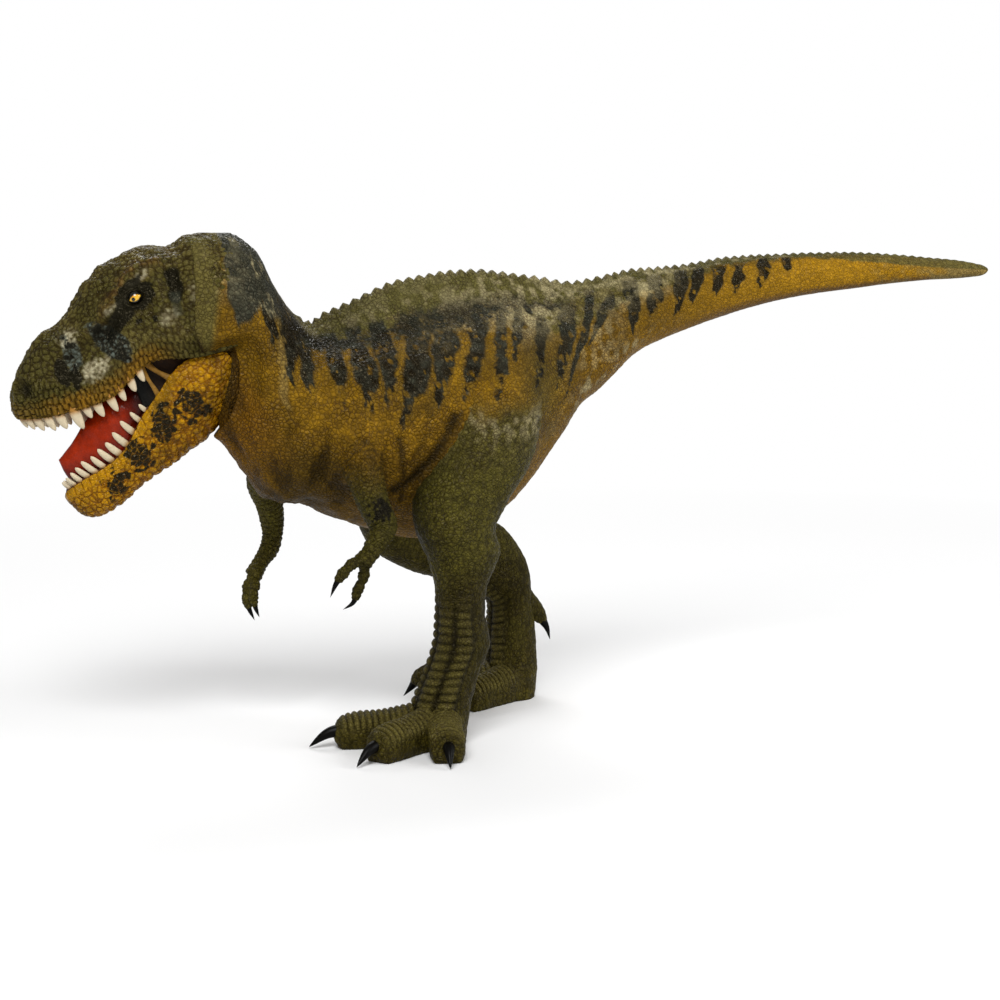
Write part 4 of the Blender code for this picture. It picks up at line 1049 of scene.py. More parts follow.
    def stripe_cover(self) -> tuple[Array, Array]:
        """Cover of the dark stripes and of the soft rim round them.

        A stripe is a slanted line whose half width shrinks towards its lower end. Noise bends
        its edges, and near the end only some scales keep the dark paint.

        Returns:
            The two covers.
        """
        points, cover, rim = self.plain, np.zeros_like(self.place), np.zeros_like(self.place)
        warp = layered(points, 3.6 * MM, 3, 71) * 0.65 * MM / BODY_LENGTH
        lift = layered(points, 4 * MM, 2, 75) * 0.03 * ease(0.0, 0.15, self.height)
        broken = scale_cells(points * np.array((1.0, 1.0, 0.55)), 1.35 * MM, 81)[1]
        for top_place, top, end_place, end, half in STRIPES:
            t = (self.height + lift - top) / (end - top)
            line = top_place + (end_place - top_place) * t
            petal = 1.04 + 0.28 * np.sin(math.pi * held(t * 1.3)) - 0.75 * held(t) ** 1.6
            width = half * petal * (1 + 0.16 * np.sin(t * 9 + top_place * 60))
            far = np.abs(self.place + warp - line) * BODY_LENGTH / width
            inside = ease(1.15, 0.85, far) * ease(-0.30, -0.10, t) * ease(1.15, 0.95, t)
            keep = ease(0.0, 0.12, broken - held(t - 0.55) * 1.3)
            cover = np.maximum(cover, inside * keep)
            rim = np.maximum(rim, ease(1.9, 0.9, far) * ease(-0.1, 0.1, t) * ease(1.2, 0.7, t))
        return cover, rim

    def worn_spots(self, crest: Array, dusty: Array) -> Array:
        """Cover of the pale worn spots on neck, shoulder, hip, rump and tail root.

        Args:
            crest: Where the row of spikes is.
            dusty: Noise that breaks the spots up.

        Returns:
            The cover.
        """
        place, height = self.place, self.height
        root = (bell(place - 0.155, 0.045) * bell(height - 0.10, 0.12)
                + 1.2 * bell(place - 0.10, 0.07) * bell(height - 0.72, 0.10))
        spots = (1.3 * bell(place + 0.010, 0.055) * bell(height - 0.05, 0.10)
                 + 0.6 * bell(place - 0.075, 0.035) * bell(height - 0.38, 0.24) + 0.9 * root
                 + 0.8 * bell(place + 0.385, 0.018) * bell(height - 0.18, 0.10)
                 + 0.5 * bell(place + 0.13, 0.05) * bell(height - 0.10, 0.06)
                 + 0.55 * bell(height - 0.016, 0.012) * crest * ease(0.55, 0.30, place))
        return held(spots) * ease(-0.15, 0.75, dusty + 0.25)

    def colours(self) -> tuple[Array, Array]:
        """Paint: ochre flanks, olive back, dark stripes, dusty high spots, dark folds and painted shade.

        Returns:
            Colour and gloss of each place.
        """
        points, place, height = self.plain, self.place, self.height
        cloud, small = layered(points, 9 * MM, 3, 91), layered(points, 2.2 * MM, 2, 95)
        olive = ease(0.075, 0.02, height + 0.02 * small - 0.01 * cloud)
        wide = 0.11 * ease(-0.03, 0.03, place) * ease(0.30, 0.10, place) + 0.40 * ease(0.36, 0.60, place)
        olive = np.maximum(olive, ease(0.10, 0.02, height - wide + 0.04 * small) * 0.85)
        nape = ease(-0.385, -0.395, place) * ease(0.75, 0.55, height)
        base = coated(
            Paints.OCHRE, (Paints.DEEP_OCHRE, 0.35 + 0.6 * cloud),
            (Paints.BRIGHT_OCHRE, ease(0.1, 0.9, small - 0.4 * cloud) * 0.7),
            (Paints.BELLY, ease(0.55, 0.95, height) * 0.7),
            (Paints.CHEST, bell(place + 0.28, 0.065) * ease(0.50, 0.75, height) * 0.85),
            (Paints.THROAT, ease(-0.29, -0.34, place) * ease(0.55, 0.75, height)),
            (Paints.GREY_OLIVE, bell(place + 0.02, 0.045) * bell(height - 0.45, 0.22) * 0.7),
            (Paints.TAIL_SIDE, ease(0.12, 0.42, place) * 0.85),
            (Paints.TAIL_BELLY, ease(0.15, 0.30, place) * ease(0.72, 0.95, height)),
            (Paints.TAIL_END, ease(0.48, 0.60, place + 0.05 * small) * 0.8),
            (Paints.OLIVE, np.maximum(olive, nape * 0.9)))
        # Painted shade: the top of the tail root and the groin between belly and thigh are darkened.
        shaded = ease(0.10, 0.16, place) * ease(0.50, 0.42, place) * ease(0.14, 0.06, height)
        base = base * (1 - 0.28 * shaded - 0.45 * held(self.groin))[..., None]
        pale = self.flank_line((-87.1, 9.0), (-85.5, 25.0), (-82.7, 52.0))
        stripes, rim = self.stripe_cover()
        wavy = height + 0.022 * small + 0.012 * cloud
        upper, lower = (np.interp(place, BACK_BAND_SHARES[:, 0], BACK_BAND_SHARES[:, k]) for k in (1, 2))
        band = (ease(-0.008, 0.006, wavy - upper) * ease(0.014, -0.014, wavy - lower)
                * ease(0.065, 0.03, place))
        neck, crest = ease(-0.325, -0.345, place), ease(-0.35, -0.33, place)
        dark = np.maximum(stripes, band) * (1 - crest * ease(0.022, 0.008, height + 0.004 * small))
        ink = coated(Paints.SLATE, (Paints.BLACK, 0.78 + 0.7 * small + 0.3 * cloud),
                     (Paints.SLATE, band * neck * (0.75 + 0.5 * small)),
                     (Paints.BLACK, ease(0.08, 0.16, place) * 0.8))
        web = scratches(points * np.array((1.0, 1.0, 0.45)), 1.25 * MM, 93)
        dust = self.worn_spots(crest, small + 0.6 * cloud)
        base = coated(
            base, (Paints.TAN, ease(1.8, 0.6, pale + 0.6 * small) * 0.45),
            (Paints.OLIVE * 0.85, rim * 0.18 * (1 - dark)), (ink, dark * 0.97),
            (Paints.TAN, web * dark * 0.42 * (1 - neck) * ease(0.22, 0.05, height)),
            (Paints.DUST, scratches(points, 2.4 * MM, 193) * neck * band * 0.75),
            (Paints.DUST, dust * 0.80 * (1 - 0.5 * dark)), (Paints.DUST, self.spike * 0.24))
        front = ease(-0.17, -0.25, place) * ease(0.10, 0.05, height) * crest
        # Each scale's own tint, the darker grooves and folds, a darker top behind the neck, and painted shade
        # in the flank's creases.
        for tone in (1 - 0.30 * front, 1.0 + 0.16 * (self.scale_tint - 0.5), 1 - 0.60 * held(self.dip),
                     1 - 0.85 * held(self.crease)):
            base = base * tone[..., None]
        if self.has_neck:
            inner = 1 - ease(0.0, 0.012, np.linspace(0, 1, self.rows))[:, None]
            # Mouth lining at the neck's open end, then painted shade on the cut face behind the jaw: the
            # throat colour dimmed.
            base = coated(base, (Paints.MOUTH, inner * ease(0.45, 0.6, height)),
                          (Paints.THROAT * 0.35, self.cut))
        return base, held(0.25 + 0.5 * dark)

    def nearest_paint(self, places: Array, rows: Array, other: Array) -> Array:
        """Paint of this skin for another skin's places, taken from the nearest point.

        Args:
            places: Places on the other skin, only its chosen rows.
            rows: True for the chosen rows of the other skin.
            other: Paint of the whole other skin, which the rest keeps.

        Returns:
            Paint for the whole other skin.
        """
        low, high = places.min(axis=(0, 1)) - 4 * MM, places.max(axis=(0, 1)) + 4 * MM
        inside = np.all((self.points > low) & (self.points < high), axis=-1)
        spots, tints = self.points[inside][::2], self.tint[inside][::2]
        flat = places.reshape(-1, 3)
        found = np.empty(flat.shape)
        for part in np.array_split(np.arange(len(flat)), 1 + len(flat) // 1500):
            far = (spots ** 2).sum(1)[None] - 2 * flat[part] @ spots.T
            found[part] = tints[far.argmin(axis=1)]
        result = other.copy()
        result[rows] = found.reshape(places.shape)
        return result


# Head

def head_line(along: Array, up: Array) -> Array:
    """Line in the head's middle plane, from shares of its length forward and up of the hinge."""
    return np.stack((along, 0 * along, up), axis=-1) * HEAD_LENGTH


def drawn_in(far: Array, lip: Array, half: Array, share: Array) -> tuple[Array, Array, Array]:
    """Head sections drawn in to a rounded end.

    Args:
        far: Crown or underside for each row.
        lip: Middle between the lips for each row.
        half: Half width for each row.
        share: Share of the way through the rounded end, below 0 before it.

    Returns:
        The first three, drawn in.
    """
    shrink, middle = blunt(share, 0.0004), (far + lip) / 2
    return middle + (far - middle) * shrink[:, None], middle + (lip - middle) * shrink[:, None], half * shrink


def gaping_grid(profile: tuple, cut: float, wall: Array, ledge: Array, vault: Array, outer_count: int,
                inner_count: int) -> tuple[Array, Array, Array]:
    """A head shell that is open along its lips: an oval outside and a hollow inside.

    The outside runs from lip to lip as an ellipse that is cut flat at the lips. The inside goes
    in over the lip's edge, along the wall to the ledge, and up to the crown of the hollow.

    Args:
        profile: Crown or underside, middle between the lips, and half width, for each row.
        cut: Where the ellipse is cut, as a share of its half height.
        wall: Thickness of the lip for each row.
        ledge: Depth of the ledge that carries the teeth.
        vault: Further depth in the middle.
        outer_count: Columns outside.
        inner_count: Columns inside.

    Returns:
        Places in the head's frame, the turn round the outside, and 1 on inner columns.
    """
    far, lip, half = profile
    reach = math.acos(-cut)
    turn = np.linspace(-reach, reach, outer_count)
    share = (np.cos(turn) + cut) / (1 + cut)
    outer = lip[:, None] + (far - lip)[:, None] * share[None, :, None]
    outer[..., 1] += half[:, None] * np.sin(turn)[None]
    edge = (half * math.sin(reach))[:, None]
    steps = np.linspace(0, 1, inner_count + 2)[1:-1]
    near = 1 - np.abs(2 * steps - 1)
    knots = np.array((0.0, 0.10, 0.20, 0.42, 0.60, 0.78, 1.0))
    room = np.maximum(edge - wall[:, None], 0.15 * edge)
    across = np.stack([np.interp(near, knots, row) for row in np.concatenate((
        edge, (edge + room) / 2, room, room * 0.98, room * 0.86, room * 0.66, 0 * room), axis=1)])
    ledge, vault = ledge[:, None], vault[:, None]
    depth = np.stack([np.interp(near, knots, row) for row in np.concatenate((
        0 * ledge, -0.05 * ledge, 0.10 * ledge, 0.92 * ledge, ledge, ledge + 0.75 * vault,
        ledge + vault), axis=1)])
    inner = lip[:, None] + unit(far - lip)[:, None] * depth[..., None]
    inner[..., 1] += across * np.where(steps < 0.5, 1.0, -1.0)
    grid = np.concatenate((outer, inner), axis=1)
    turns = np.concatenate((turn, np.zeros(inner_count)))
    inside = np.repeat((0.0, 1.0), (outer_count, inner_count))
    return grid, np.broadcast_to(turns, grid.shape[:2]), np.broadcast_to(inside, grid.shape[:2])


def stepped(column: Array) -> Array:
    """Distance from the middle of the whole step that a number lies in: 0 there, 1 at its ends."""
    return np.abs(column - np.floor(column) - 0.5) * 2


@dataclass
class SkullSkin(Skin):
    """Upper head with brow ridges, eye hollows, nostrils, lip plates, scales and palate.

    The head's forms are given in mm. A ridge has its height, half width and line, and a spot or a
    rim has its height, middle, radii and turn.
    """

    rows: int = 270
    outer: int = 262
    inner: int = 70

    RIDGES = {
        "brow": (1.75, 2.3, ((36, 17.5), (28, 20.5), (22, 26), (16, 30.5), (9, 33.0), (3, 33.5))),
        "snout": (0.9, 1.8, ((50, 15.5), (43, 18.5), (36, 20.5))),
        "cheekbone": (0.8, 2.6, ((25, 9.5), (14, 11.5), (2, 11.0))),
        "temple": (-1.5, 2.1, ((4.3, 28.8), (4.2, 24.0), (5.4, 18.6))),
    }
    SPOTS = {
        "cheek": (1.1, (8.0, 10.5), (8.5, 5.5), 0), "hollow": (-1.9, (27.0, 18.2), (5.0, 2.6), -38),
        "front_hollow": (-1.3, (38.5, 12.6), (4.6, 2.4), -18), "ear": (-1.1, (-4.0, 17.5), (1.3, 1.7), 0),
        "socket": (-1.5, (15.6, 25.2), (4.4, 3.5), -20), "nostril": (-1.3, (52.4, 9.1), (1.7, 2.6), -20),
    }
    RIMS = ((0.9, (15.7, 24.9), (3.0, 2.1), -15, 0.24), (0.6, (52.4, 9.1), (3.0, 3.9), -20, 0.30))
    BLOTS = ((41.1, 10.7, 1.8, 4.0), (37.7, 8.8, 1.7, 2.0), (23.6, 11.6, 1.2, 1.5), (38.3, 5.9, 0.8, 1.2),
             (12.0, 18.0, 0.9, 0.9), (16.5, 18.6, 1.0, 0.8), (0.6, 15.4, 0.8, 0.8))
    PALE_SPOTS = ((36.6, 18.8, 3.0, 2.0, 1.0), (31.9, 9.2, 4.6, 2.4, 1.0), (8.2, 17.6, 3.0, 2.0, 0.55),
                  (13.0, 29.6, 3.2, 0.9, 0.8), (21.0, 24.0, 4.2, 0.8, 0.8), (-1.0, 21.0, 2.2, 2.8, 0.45))

    def grid(self) -> None:
        """Lay the shell along the head's length, rounded off at the snout."""
        along = -0.30 + 1.304 * (1 - (1 - np.linspace(0, 1, self.rows)) ** 1.25)
        table = read_table(SKULL_SHARES, along)
        profile = drawn_in(head_line(table[:, 0], table[:, 1]), head_line(table[:, 0], table[:, 2]),
                           table[:, 3] * HEAD_WIDTH / 2, (along - 0.978) / 0.026)
        ledge = 4.2 * MM * (ease(-0.12, -0.05, along) * ease(1.0, 0.90, along))
        vault = 6.0 * MM * (ease(0.16, 0.30, along) * ease(0.97, 0.80, along))
        wall = (1.5 - 0.9 * ease(0.26, 0.16, along)) * MM
        self.local, self.turn, self.inside = gaping_grid(profile, 0.45, wall, ledge, vault, self.outer,
                                                         self.inner)
        self.above = (self.local[..., 2] - profile[1][:, None, 2]) / MM
        self.flat = np.abs(np.sin(self.turn))
        self.side = ease(0.25, 0.75, self.flat) * (1 - self.inside)

    def lip_plates(self) -> tuple[Array, Array]:
        """Tall plates along the lips, in uneven columns and rows.

        Returns:
            Height of the plates from 0 to 1, and where they are.
        """
        local, x = self.local, self.local[..., 0]
        column = x / (1.45 * MM) + 0.6 * noise(local * np.array((1, 1, 0.3)), 4 * MM, 121)
        spot = column + np.floor(self.above / 2.5) * 0.5
        level = self.above / 2.5 + 0.9 * noise(local, 3.2 * MM, 123) + 0.5 * scatter(
            np.stack((np.floor(column), 0 * column, 0 * column), axis=-1), 125)
        plate = ease(0.98, 0.50, stepped(spot)) * (0.30 + 0.70 * ease(0.99, 0.66, stepped(level)))
        tall = 6.0 + 4.5 * ease(38 * MM, 50 * MM, x)
        self.plate_tint = scatter(np.stack((np.floor(spot), np.floor(level), np.sign(local[..., 1])),
                                           axis=-1), 131)
        cover = ease(1.25, 0.85, self.above / tall) * ease(-0.03, 0.05, x / HEAD_LENGTH)
        return plate, cover * (np.abs(local[..., 1]) > 2 * MM)

    def raise_skin(self, others: list) -> None:
        """Raise the head's forms, then its lip plates and scales.

        Args:
            others: Coarse samples of the skins that it runs into.
        """
        local, outside = self.local, 1 - self.inside
        x, z = local[..., 0], local[..., 2]
        forms = np.zeros_like(x)
        self.marks = {}
        for name, (height, width, line) in self.RIDGES.items():
            self.marks[name] = bell(line_distance(x, z, line), width * MM)
            forms += height * self.marks[name]
        for name, (height, *spot) in self.SPOTS.items():
            self.marks[name] = bell(spot_share(x, z, *spot), 1.0)
            forms += height * self.marks[name]
        for height, *spot, width in self.RIMS:
            forms += height * bell(spot_share(x, z, *spot) - 1.0, width)
        brow = self.marks["brow"]
        knobs = noise(local, 2.6 * MM, 143) + 0.5 * noise(local, 1.5 * MM, 144)
        edge, tint = scale_cells(local, 1.65 * MM, 101)
        fine_edge, fine_tint = scale_cells(local, 1.25 * MM, 111)
        self.net_edge, self.net_name = scale_cells(local, 1.35 * MM, 171)
        small = held(bell(spot_share(x, z, (27, 18), (13, 8), -30), 1.0) + ease(0.6, 0.1, self.flat))
        self.scale_tint = tint * (1 - small) + fine_tint * small
        dome = bead(edge) * (1 - small) + bead(fine_edge) * small
        groove = ease(0.32, 0.06, edge * (1 - small) + fine_edge * small)
        plate, plates_on = self.lip_plates()
        dome = dome * (1 - plates_on) + plate * plates_on
        self.dip = (groove * (1 - plates_on) + (1 - plate) * plates_on) * outside
        ribs = np.sin(x / (1.5 * MM)) * self.inside * ease(0.2, 0.3, x / HEAD_LENGTH)
        world = self.stance.from_head(local)
        out = grid_normals(local) @ self.stance.head_axes.T
        back = ease(0.12, -0.05, x / HEAD_LENGTH) * outside
        knobby = held(brow + ease(0.62, 0.30, self.flat)) * outside
        lift = (forms * MM * self.side + 0.58 * MM * knobs * knobby
                + (dome - 0.65) * ((0.56 + 0.26 * plates_on) * MM * (1 - 0.35 * small)) * outside
                + layered(local, 6 * MM, 2, 141) * 0.28 * MM * outside + 0.15 * MM * ribs
                + fillet(world, out, others, 6 * MM * back) * back)
        self.points = world + out * lift[..., None]

    def dark_marks(self, grain: Array) -> tuple[Array, Array, Array]:
        """Covers of the black marks round the eye, on temple, cheek and snout.

        Args:
            grain: Noise that frays their edges.

        Returns:
            Cover of all marks, of the faded one below the temple, and of the grey under the nets.
        """
        x, z = self.local[..., 0], self.local[..., 2]
        eye = ease(1.06, 0.98, spot_share(x, z, (15.4, 25.4), (5.6, 3.9), -22) + 0.34 * grain)
        band = line_distance(x, z, ((18.5, 22.5), (22.5, 19.5), (25.0, 17.5))) / MM
        net_zone = ease(1.10, 0.95, spot_share(x, z, (25.6, 15.2), (6.8, 3.5), 51) + 0.30 * grain)
        net = np.maximum(ease(0.36, 0.20, self.net_edge), ease(0.84, 0.88, self.net_name))
        temple = line_distance(x, z, ((4.3, 28.6), (4.2, 25.5), (5.0, 22.5))) / MM
        faded = ease(2.0, 1.0, line_distance(x, z, ((5.0, 22.5), (5.6, 18.6))) / MM + 0.8 * grain)
        grey_zone = ease(1.15, 0.85, spot_share(x, z, (37.1, 14.7), (2.6, 4.8)) + 0.3 * grain)
        beads = grey_zone * ease(0.62, 0.66, self.net_name) * ease(0.04, 0.12, self.net_edge)
        blots = [ease(1.06, 0.98, spot_share(x, z, spot[:2], spot[2:]) + 0.40 * grain) for spot in self.BLOTS]
        dark = np.maximum.reduce((eye, ease(2.5, 2.0, band + 0.8 * grain), net_zone * net, beads,
                                  ease(2.5, 1.6, temple + 0.8 * grain), faded * 0.6, *blots))
        return dark * self.side, faded, np.maximum(grey_zone * 0.80, net_zone * 0.9) * self.side

    def colours(self) -> tuple[Array, Array]:
        """Paint: grey olive, ochre lips, black marks round the eye and cheek, dusty worn spots.

        Returns:
            Colour and gloss of each place.
        """
        local, marks, above = self.local, self.marks, self.above
        x, z = local[..., 0], local[..., 2]
        cloud, small = layered(local, 7 * MM, 3, 151), layered(local, 1.8 * MM, 2, 155)
        lips = (ease(6.5, 2.0, above + 1.2 * small) * ease(0.12, 0.3, x / HEAD_LENGTH)
                * (1 - 0.6 * ease(42 * MM, 52 * MM, x)))
        grain = 0.55 * small + 0.45 * (self.scale_tint - 0.5)
        pale, rough = np.zeros_like(x), ease(-0.9, 0.5, noise(local, 0.8 * MM, 177) + 0.4 * small)
        for *spot, share in self.PALE_SPOTS:
            patch = ease(1.4, 0.65, spot_share(x, z, spot[:2], spot[2:], -20) + 0.45 * grain)
            pale = np.maximum(pale, share * (patch * rough))
        dark, faded, grey = self.dark_marks(grain)
        base = coated(
            Paints.SKULL, (Paints.SKULL_LIGHT, 0.15 + 0.55 * ease(0.75, 0.35, self.flat) + 0.7 * cloud),
            (Paints.LIP_OCHRE, lips * (0.65 + 0.35 * self.plate_tint)),
            (Paints.RUST, marks["brow"] * bell(x - 15 * MM, 11 * MM) * 0.5 * ease(-0.5, 0.5, small)),
            (Paints.SKULL_GREY, grey), (Paints.SKULL_PALE, pale * 0.85 * self.side),
            (mixed(Paints.BLACK, Paints.SLATE, faded * 0.8), dark * 0.96))
        base = base * (0.88 + 0.24 * self.scale_tint)[..., None]
        wash = held(self.dip) * 0.95 * (1 - 0.6 * dark) * (1 - 0.5 * pale)
        base = mixed(base, base * np.array((0.26, 0.20, 0.12)), wash)
        # Painted shade: the nostril, eye hollow and ear recesses are darkened towards black.
        holes = held((marks["nostril"] + 0.35 * marks["hollow"] + 0.8 * marks["ear"]) * 1.25)
        inner = self.inside * held(ease(0.6, 2.0, above) + 0.35)
        base = coated(base, (Paints.BLACK, holes * self.side * 0.9),
                      (mixed(Paints.MOUTH, Paints.GUM * 0.6, 0.4 + 0.5 * small), inner))
        return base, 0.35 + 0.10 * dark


@dataclass
class JawSkin(Skin):
    """Lower jaw: yellow hide with scales, a scalloped lower edge and black marks."""

    rows: int = 230
    outer: int = 210
    inner: int = 56

    BLOTS = ((9.8, -8.0, 4.2, 4.6), (18.6, -11.2, 3.8, 6.2), (27.6, -16.8, 3.6, 4.8), (36.6, -23.8, 3.4, 4.4))

    def grid(self) -> None:
        """Lay the shell from the hinge to the chin, rounded off at the chin."""
        at = -0.060 + 0.953 * (1 - (1 - np.linspace(0, 1, self.rows)) ** 1.2)
        table = read_table(JAW_SHARES, at)
        profile = drawn_in(head_line(table[:, 2], table[:, 3]), head_line(table[:, 0], table[:, 1]),
                           table[:, 4] * HEAD_WIDTH / 2, (at - 0.868) / 0.025)
        open_ = ease(0.16, 0.26, at) * ease(0.893, 0.82, at)
        self.local, self.turn, self.inside = gaping_grid(
            profile, 0.40, np.full(self.rows, 1.4 * MM), 3.6 * MM * open_, 0.4 * MM * open_, self.outer,
            self.inner)
        self.at = np.broadcast_to(at[:, None], self.turn.shape)
        self.lip = profile[1]

    def raise_skin(self) -> None:
        """Raise scales, lip plates and the scalloped rim along the jaw's lower and rear edge."""
        local, outside = self.local, 1 - self.inside
        edge, self.scale_tint = scale_cells(local, 1.75 * MM, 201)
        self.spot_edge, self.spot_name = scale_cells(local, 1.9 * MM, 231)
        straight = local * np.array((1, 0, 1)) - self.lip[:, None]
        from_lip = np.linalg.norm(straight, axis=-1) / MM
        column = self.at * HEAD_LENGTH / (2.4 * MM) + np.floor(from_lip / 2.4) * 0.5
        plates_on = ease(3.6, 2.0, from_lip) * outside * ease(0.18, 0.26, self.at)
        plate = ease(1.0, 0.8, stepped(column))
        dome = bead(edge) * (1 - plates_on) + plate * plates_on
        groove = ease(0.30, 0.05, edge) * (1 - plates_on) + (1 - plate) * plates_on
        rim = bell(np.abs(self.turn) - 0.42, 0.34)
        wave = np.abs(np.cos(math.pi * (self.at * HEAD_LENGTH / (2.7 * MM))))
        bumps = wave ** 0.7 * rim * ease(0.76, 0.66, self.at)
        self.dip = np.maximum(groove, rim * ease(0.45, 0.10, wave) * 0.8) * outside
        lift = ((dome - 0.62) * 0.46 * MM * outside + 0.85 * MM * bumps * outside
                + layered(local, 5 * MM, 2, 211) * 0.22 * MM * outside)
        self.points = self.stance.from_head(local + grid_normals(local) * lift[..., None])

    def colours(self) -> tuple[Array, Array]:
        """Paint: yellow with brown grooves, clusters of black scales and a dark mouth floor.

        Returns:
            Colour and gloss of each place.
        """
        local, turn = self.local, np.abs(self.turn)
        cloud, small = layered(local, 6 * MM, 3, 221), layered(local, 1.8 * MM, 2, 225)
        base = coated(Paints.JAW_YELLOW, (Paints.DEEP_OCHRE, 0.15 + 0.8 * cloud),
                      (Paints.JAW_YELLOW * 1.25, ease(0.0, 0.9, small) * 0.6),
                      (Paints.THROAT, ease(0.35, 0.05, turn) * 0.55))
        shown = ease(0.5, 0.9, turn) * (1 - self.inside) * (0.55 + 0.45 * ease(0.02, 0.09, self.spot_edge))
        dark, grain = np.zeros_like(turn), 0.95 * (self.spot_name - 0.5) + 0.04 * small
        for spot in self.BLOTS:
            share = spot_share(local[..., 0], local[..., 2], spot[:2], spot[2:], 30)
            dark = np.maximum(dark, ease(0.98, 0.93, share + grain) * shown)
        base = base * (0.88 + 0.24 * self.scale_tint)[..., None]
        base = coated(base, (base * np.array((0.42, 0.30, 0.14)), held(self.dip) * 0.88),
                      (Paints.BLACK, dark * 0.97), (Paints.MOUTH, self.inside * 0.9))
        return base, held(0.45 + 0.4 * dark)


@dataclass
class ToothRow:
    """Gum strip with separate curved teeth, upper or lower.

    A tooth is a cone with a blunt tip. Its radius is one minus a power of the share along it,
    2.8th above and 4.5th below, to the power 0.55. Its middle leans back with the square of the
    share.
    """

    stance: Stance
    name: str
    node: str
    body: str
    table: Array
    teeth: Array
    show: float
    hidden: float
    way: float
    start: float
    axis: tuple[float, float]
    girth: float = 0.95
    wall: float = 1.88 * MM

    def arch(self) -> tuple[Array, Array]:
        """Follow the lip's inner edge round the mouth.

        Returns:
            Roots of the teeth, and a dense line along the edge.
        """
        rows = read_table(self.table, np.linspace(self.table[0, 0], self.table[-1, 0], 240))
        x, half = rows[:, 0] * HEAD_LENGTH, rows[:, -1] * HEAD_WIDTH / 2
        z = rows[:, 2 if self.way < 0 else 1] * HEAD_LENGTH
        run, drift = np.gradient(x), np.gradient(half)
        length = np.hypot(run, drift)
        px, py = x + drift / length * self.wall, half - run / length * self.wall
        keep = (px > self.start * HEAD_LENGTH) & (py > 0.7 * MM)
        px, py = px[keep], py[keep]
        line = np.concatenate((np.column_stack((px, py)), ((px.max(), 0.0),),
                               np.column_stack((px, -py))[::-1]))
        running = running_length(line)
        ax = np.minimum(self.teeth[:, 0] * HEAD_LENGTH, px.max() - 0.2 * MM)
        ay = np.interp(ax, px, py)
        ax, ay = np.concatenate((ax, ax[::-1])), np.concatenate((ay, -ay[::-1]))
        dense = np.linspace(0.0, running[-1], 200)
        dx, dy = np.interp(dense, running, line[:, 0]), np.interp(dense, running, line[:, 1])
        return (np.column_stack((ax, ay, np.interp(ax, x, z))),
                np.column_stack((dx, dy, np.interp(dx, x, z))))

    def build(self, finish: bpy.types.Material) -> None:
        """Make the piece, which stands for its CAD node.

        Args:
            finish: Finish of the piece.
        """
        points, strip = self.arch()
        shell = Moulding(self.name, self.stance)
        heading = unit(np.gradient(strip, axis=0))
        out = unit(np.cross(heading, (0.0, 0.0, 1.0)))
        turn, sides = full_turn(14), full_turn(16)
        lumps = 1 + 0.12 * np.sin(np.arange(len(strip)) * 1.1)
        middle = strip + np.array((0, 0, -self.way * (self.hidden - 0.9 * MM)))
        tube = (middle[:, None] + out[:, None] * (0.68 * MM * np.cos(turn))[None, :, None]
                + np.array((0, 0, 1.0)) * (1.25 * MM * np.sin(turn))[None, :, None] * lumps[:, None, None])
        shell.add(self.stance.from_head(tube), Paints.GUM, 0.6)
        level = np.linspace(0.0, 1.0, 17)
        power, seed = (2.8, 5) if self.way < 0 else (4.5, 9)
        taper = np.maximum(np.maximum(1 - level ** power, 0.0) ** 0.55, 0.06)
        taper = taper * (0.66 + 0.34 * ease(0.05, 0.34, level))
        axis = np.array((self.axis[0], 0.0, self.axis[1]))
        for index, (root, share) in enumerate(zip(points, (*self.teeth[:, 1], *self.teeth[::-1, 1]))):
            length, radius = self.hidden + self.show * share, (self.girth + 0.70 * share) * MM
            wobble = scatter(np.array((index, 7, 3)), seed) - 0.5
            near = np.linalg.norm(strip - root, axis=1).argmin()
            ring = (heading[near][None] * np.cos(sides)[:, None] * radius
                    + out[near][None] * np.sin(sides)[:, None] * radius * 0.62)
            spine = root[None] + np.outer(level * length - self.hidden, axis)
            spine[:, 0] += -0.14 * length * level ** 2 + 0.05 * length * level * wobble
            tooth = spine[:, None] + ring[None] * (taper * (1 + 0.12 * wobble))[:, None, None]
            bare = ease(self.hidden / length - 0.02, self.hidden / length + 0.22, level)
            tint = mixed(Paints.IVORY_ROOT, Paints.IVORY, bare[:, None])
            shell.add(self.stance.from_head(tooth), tint, 0.6)
        shell.finish(finish, self.body, "tooth_ivory", self.node)


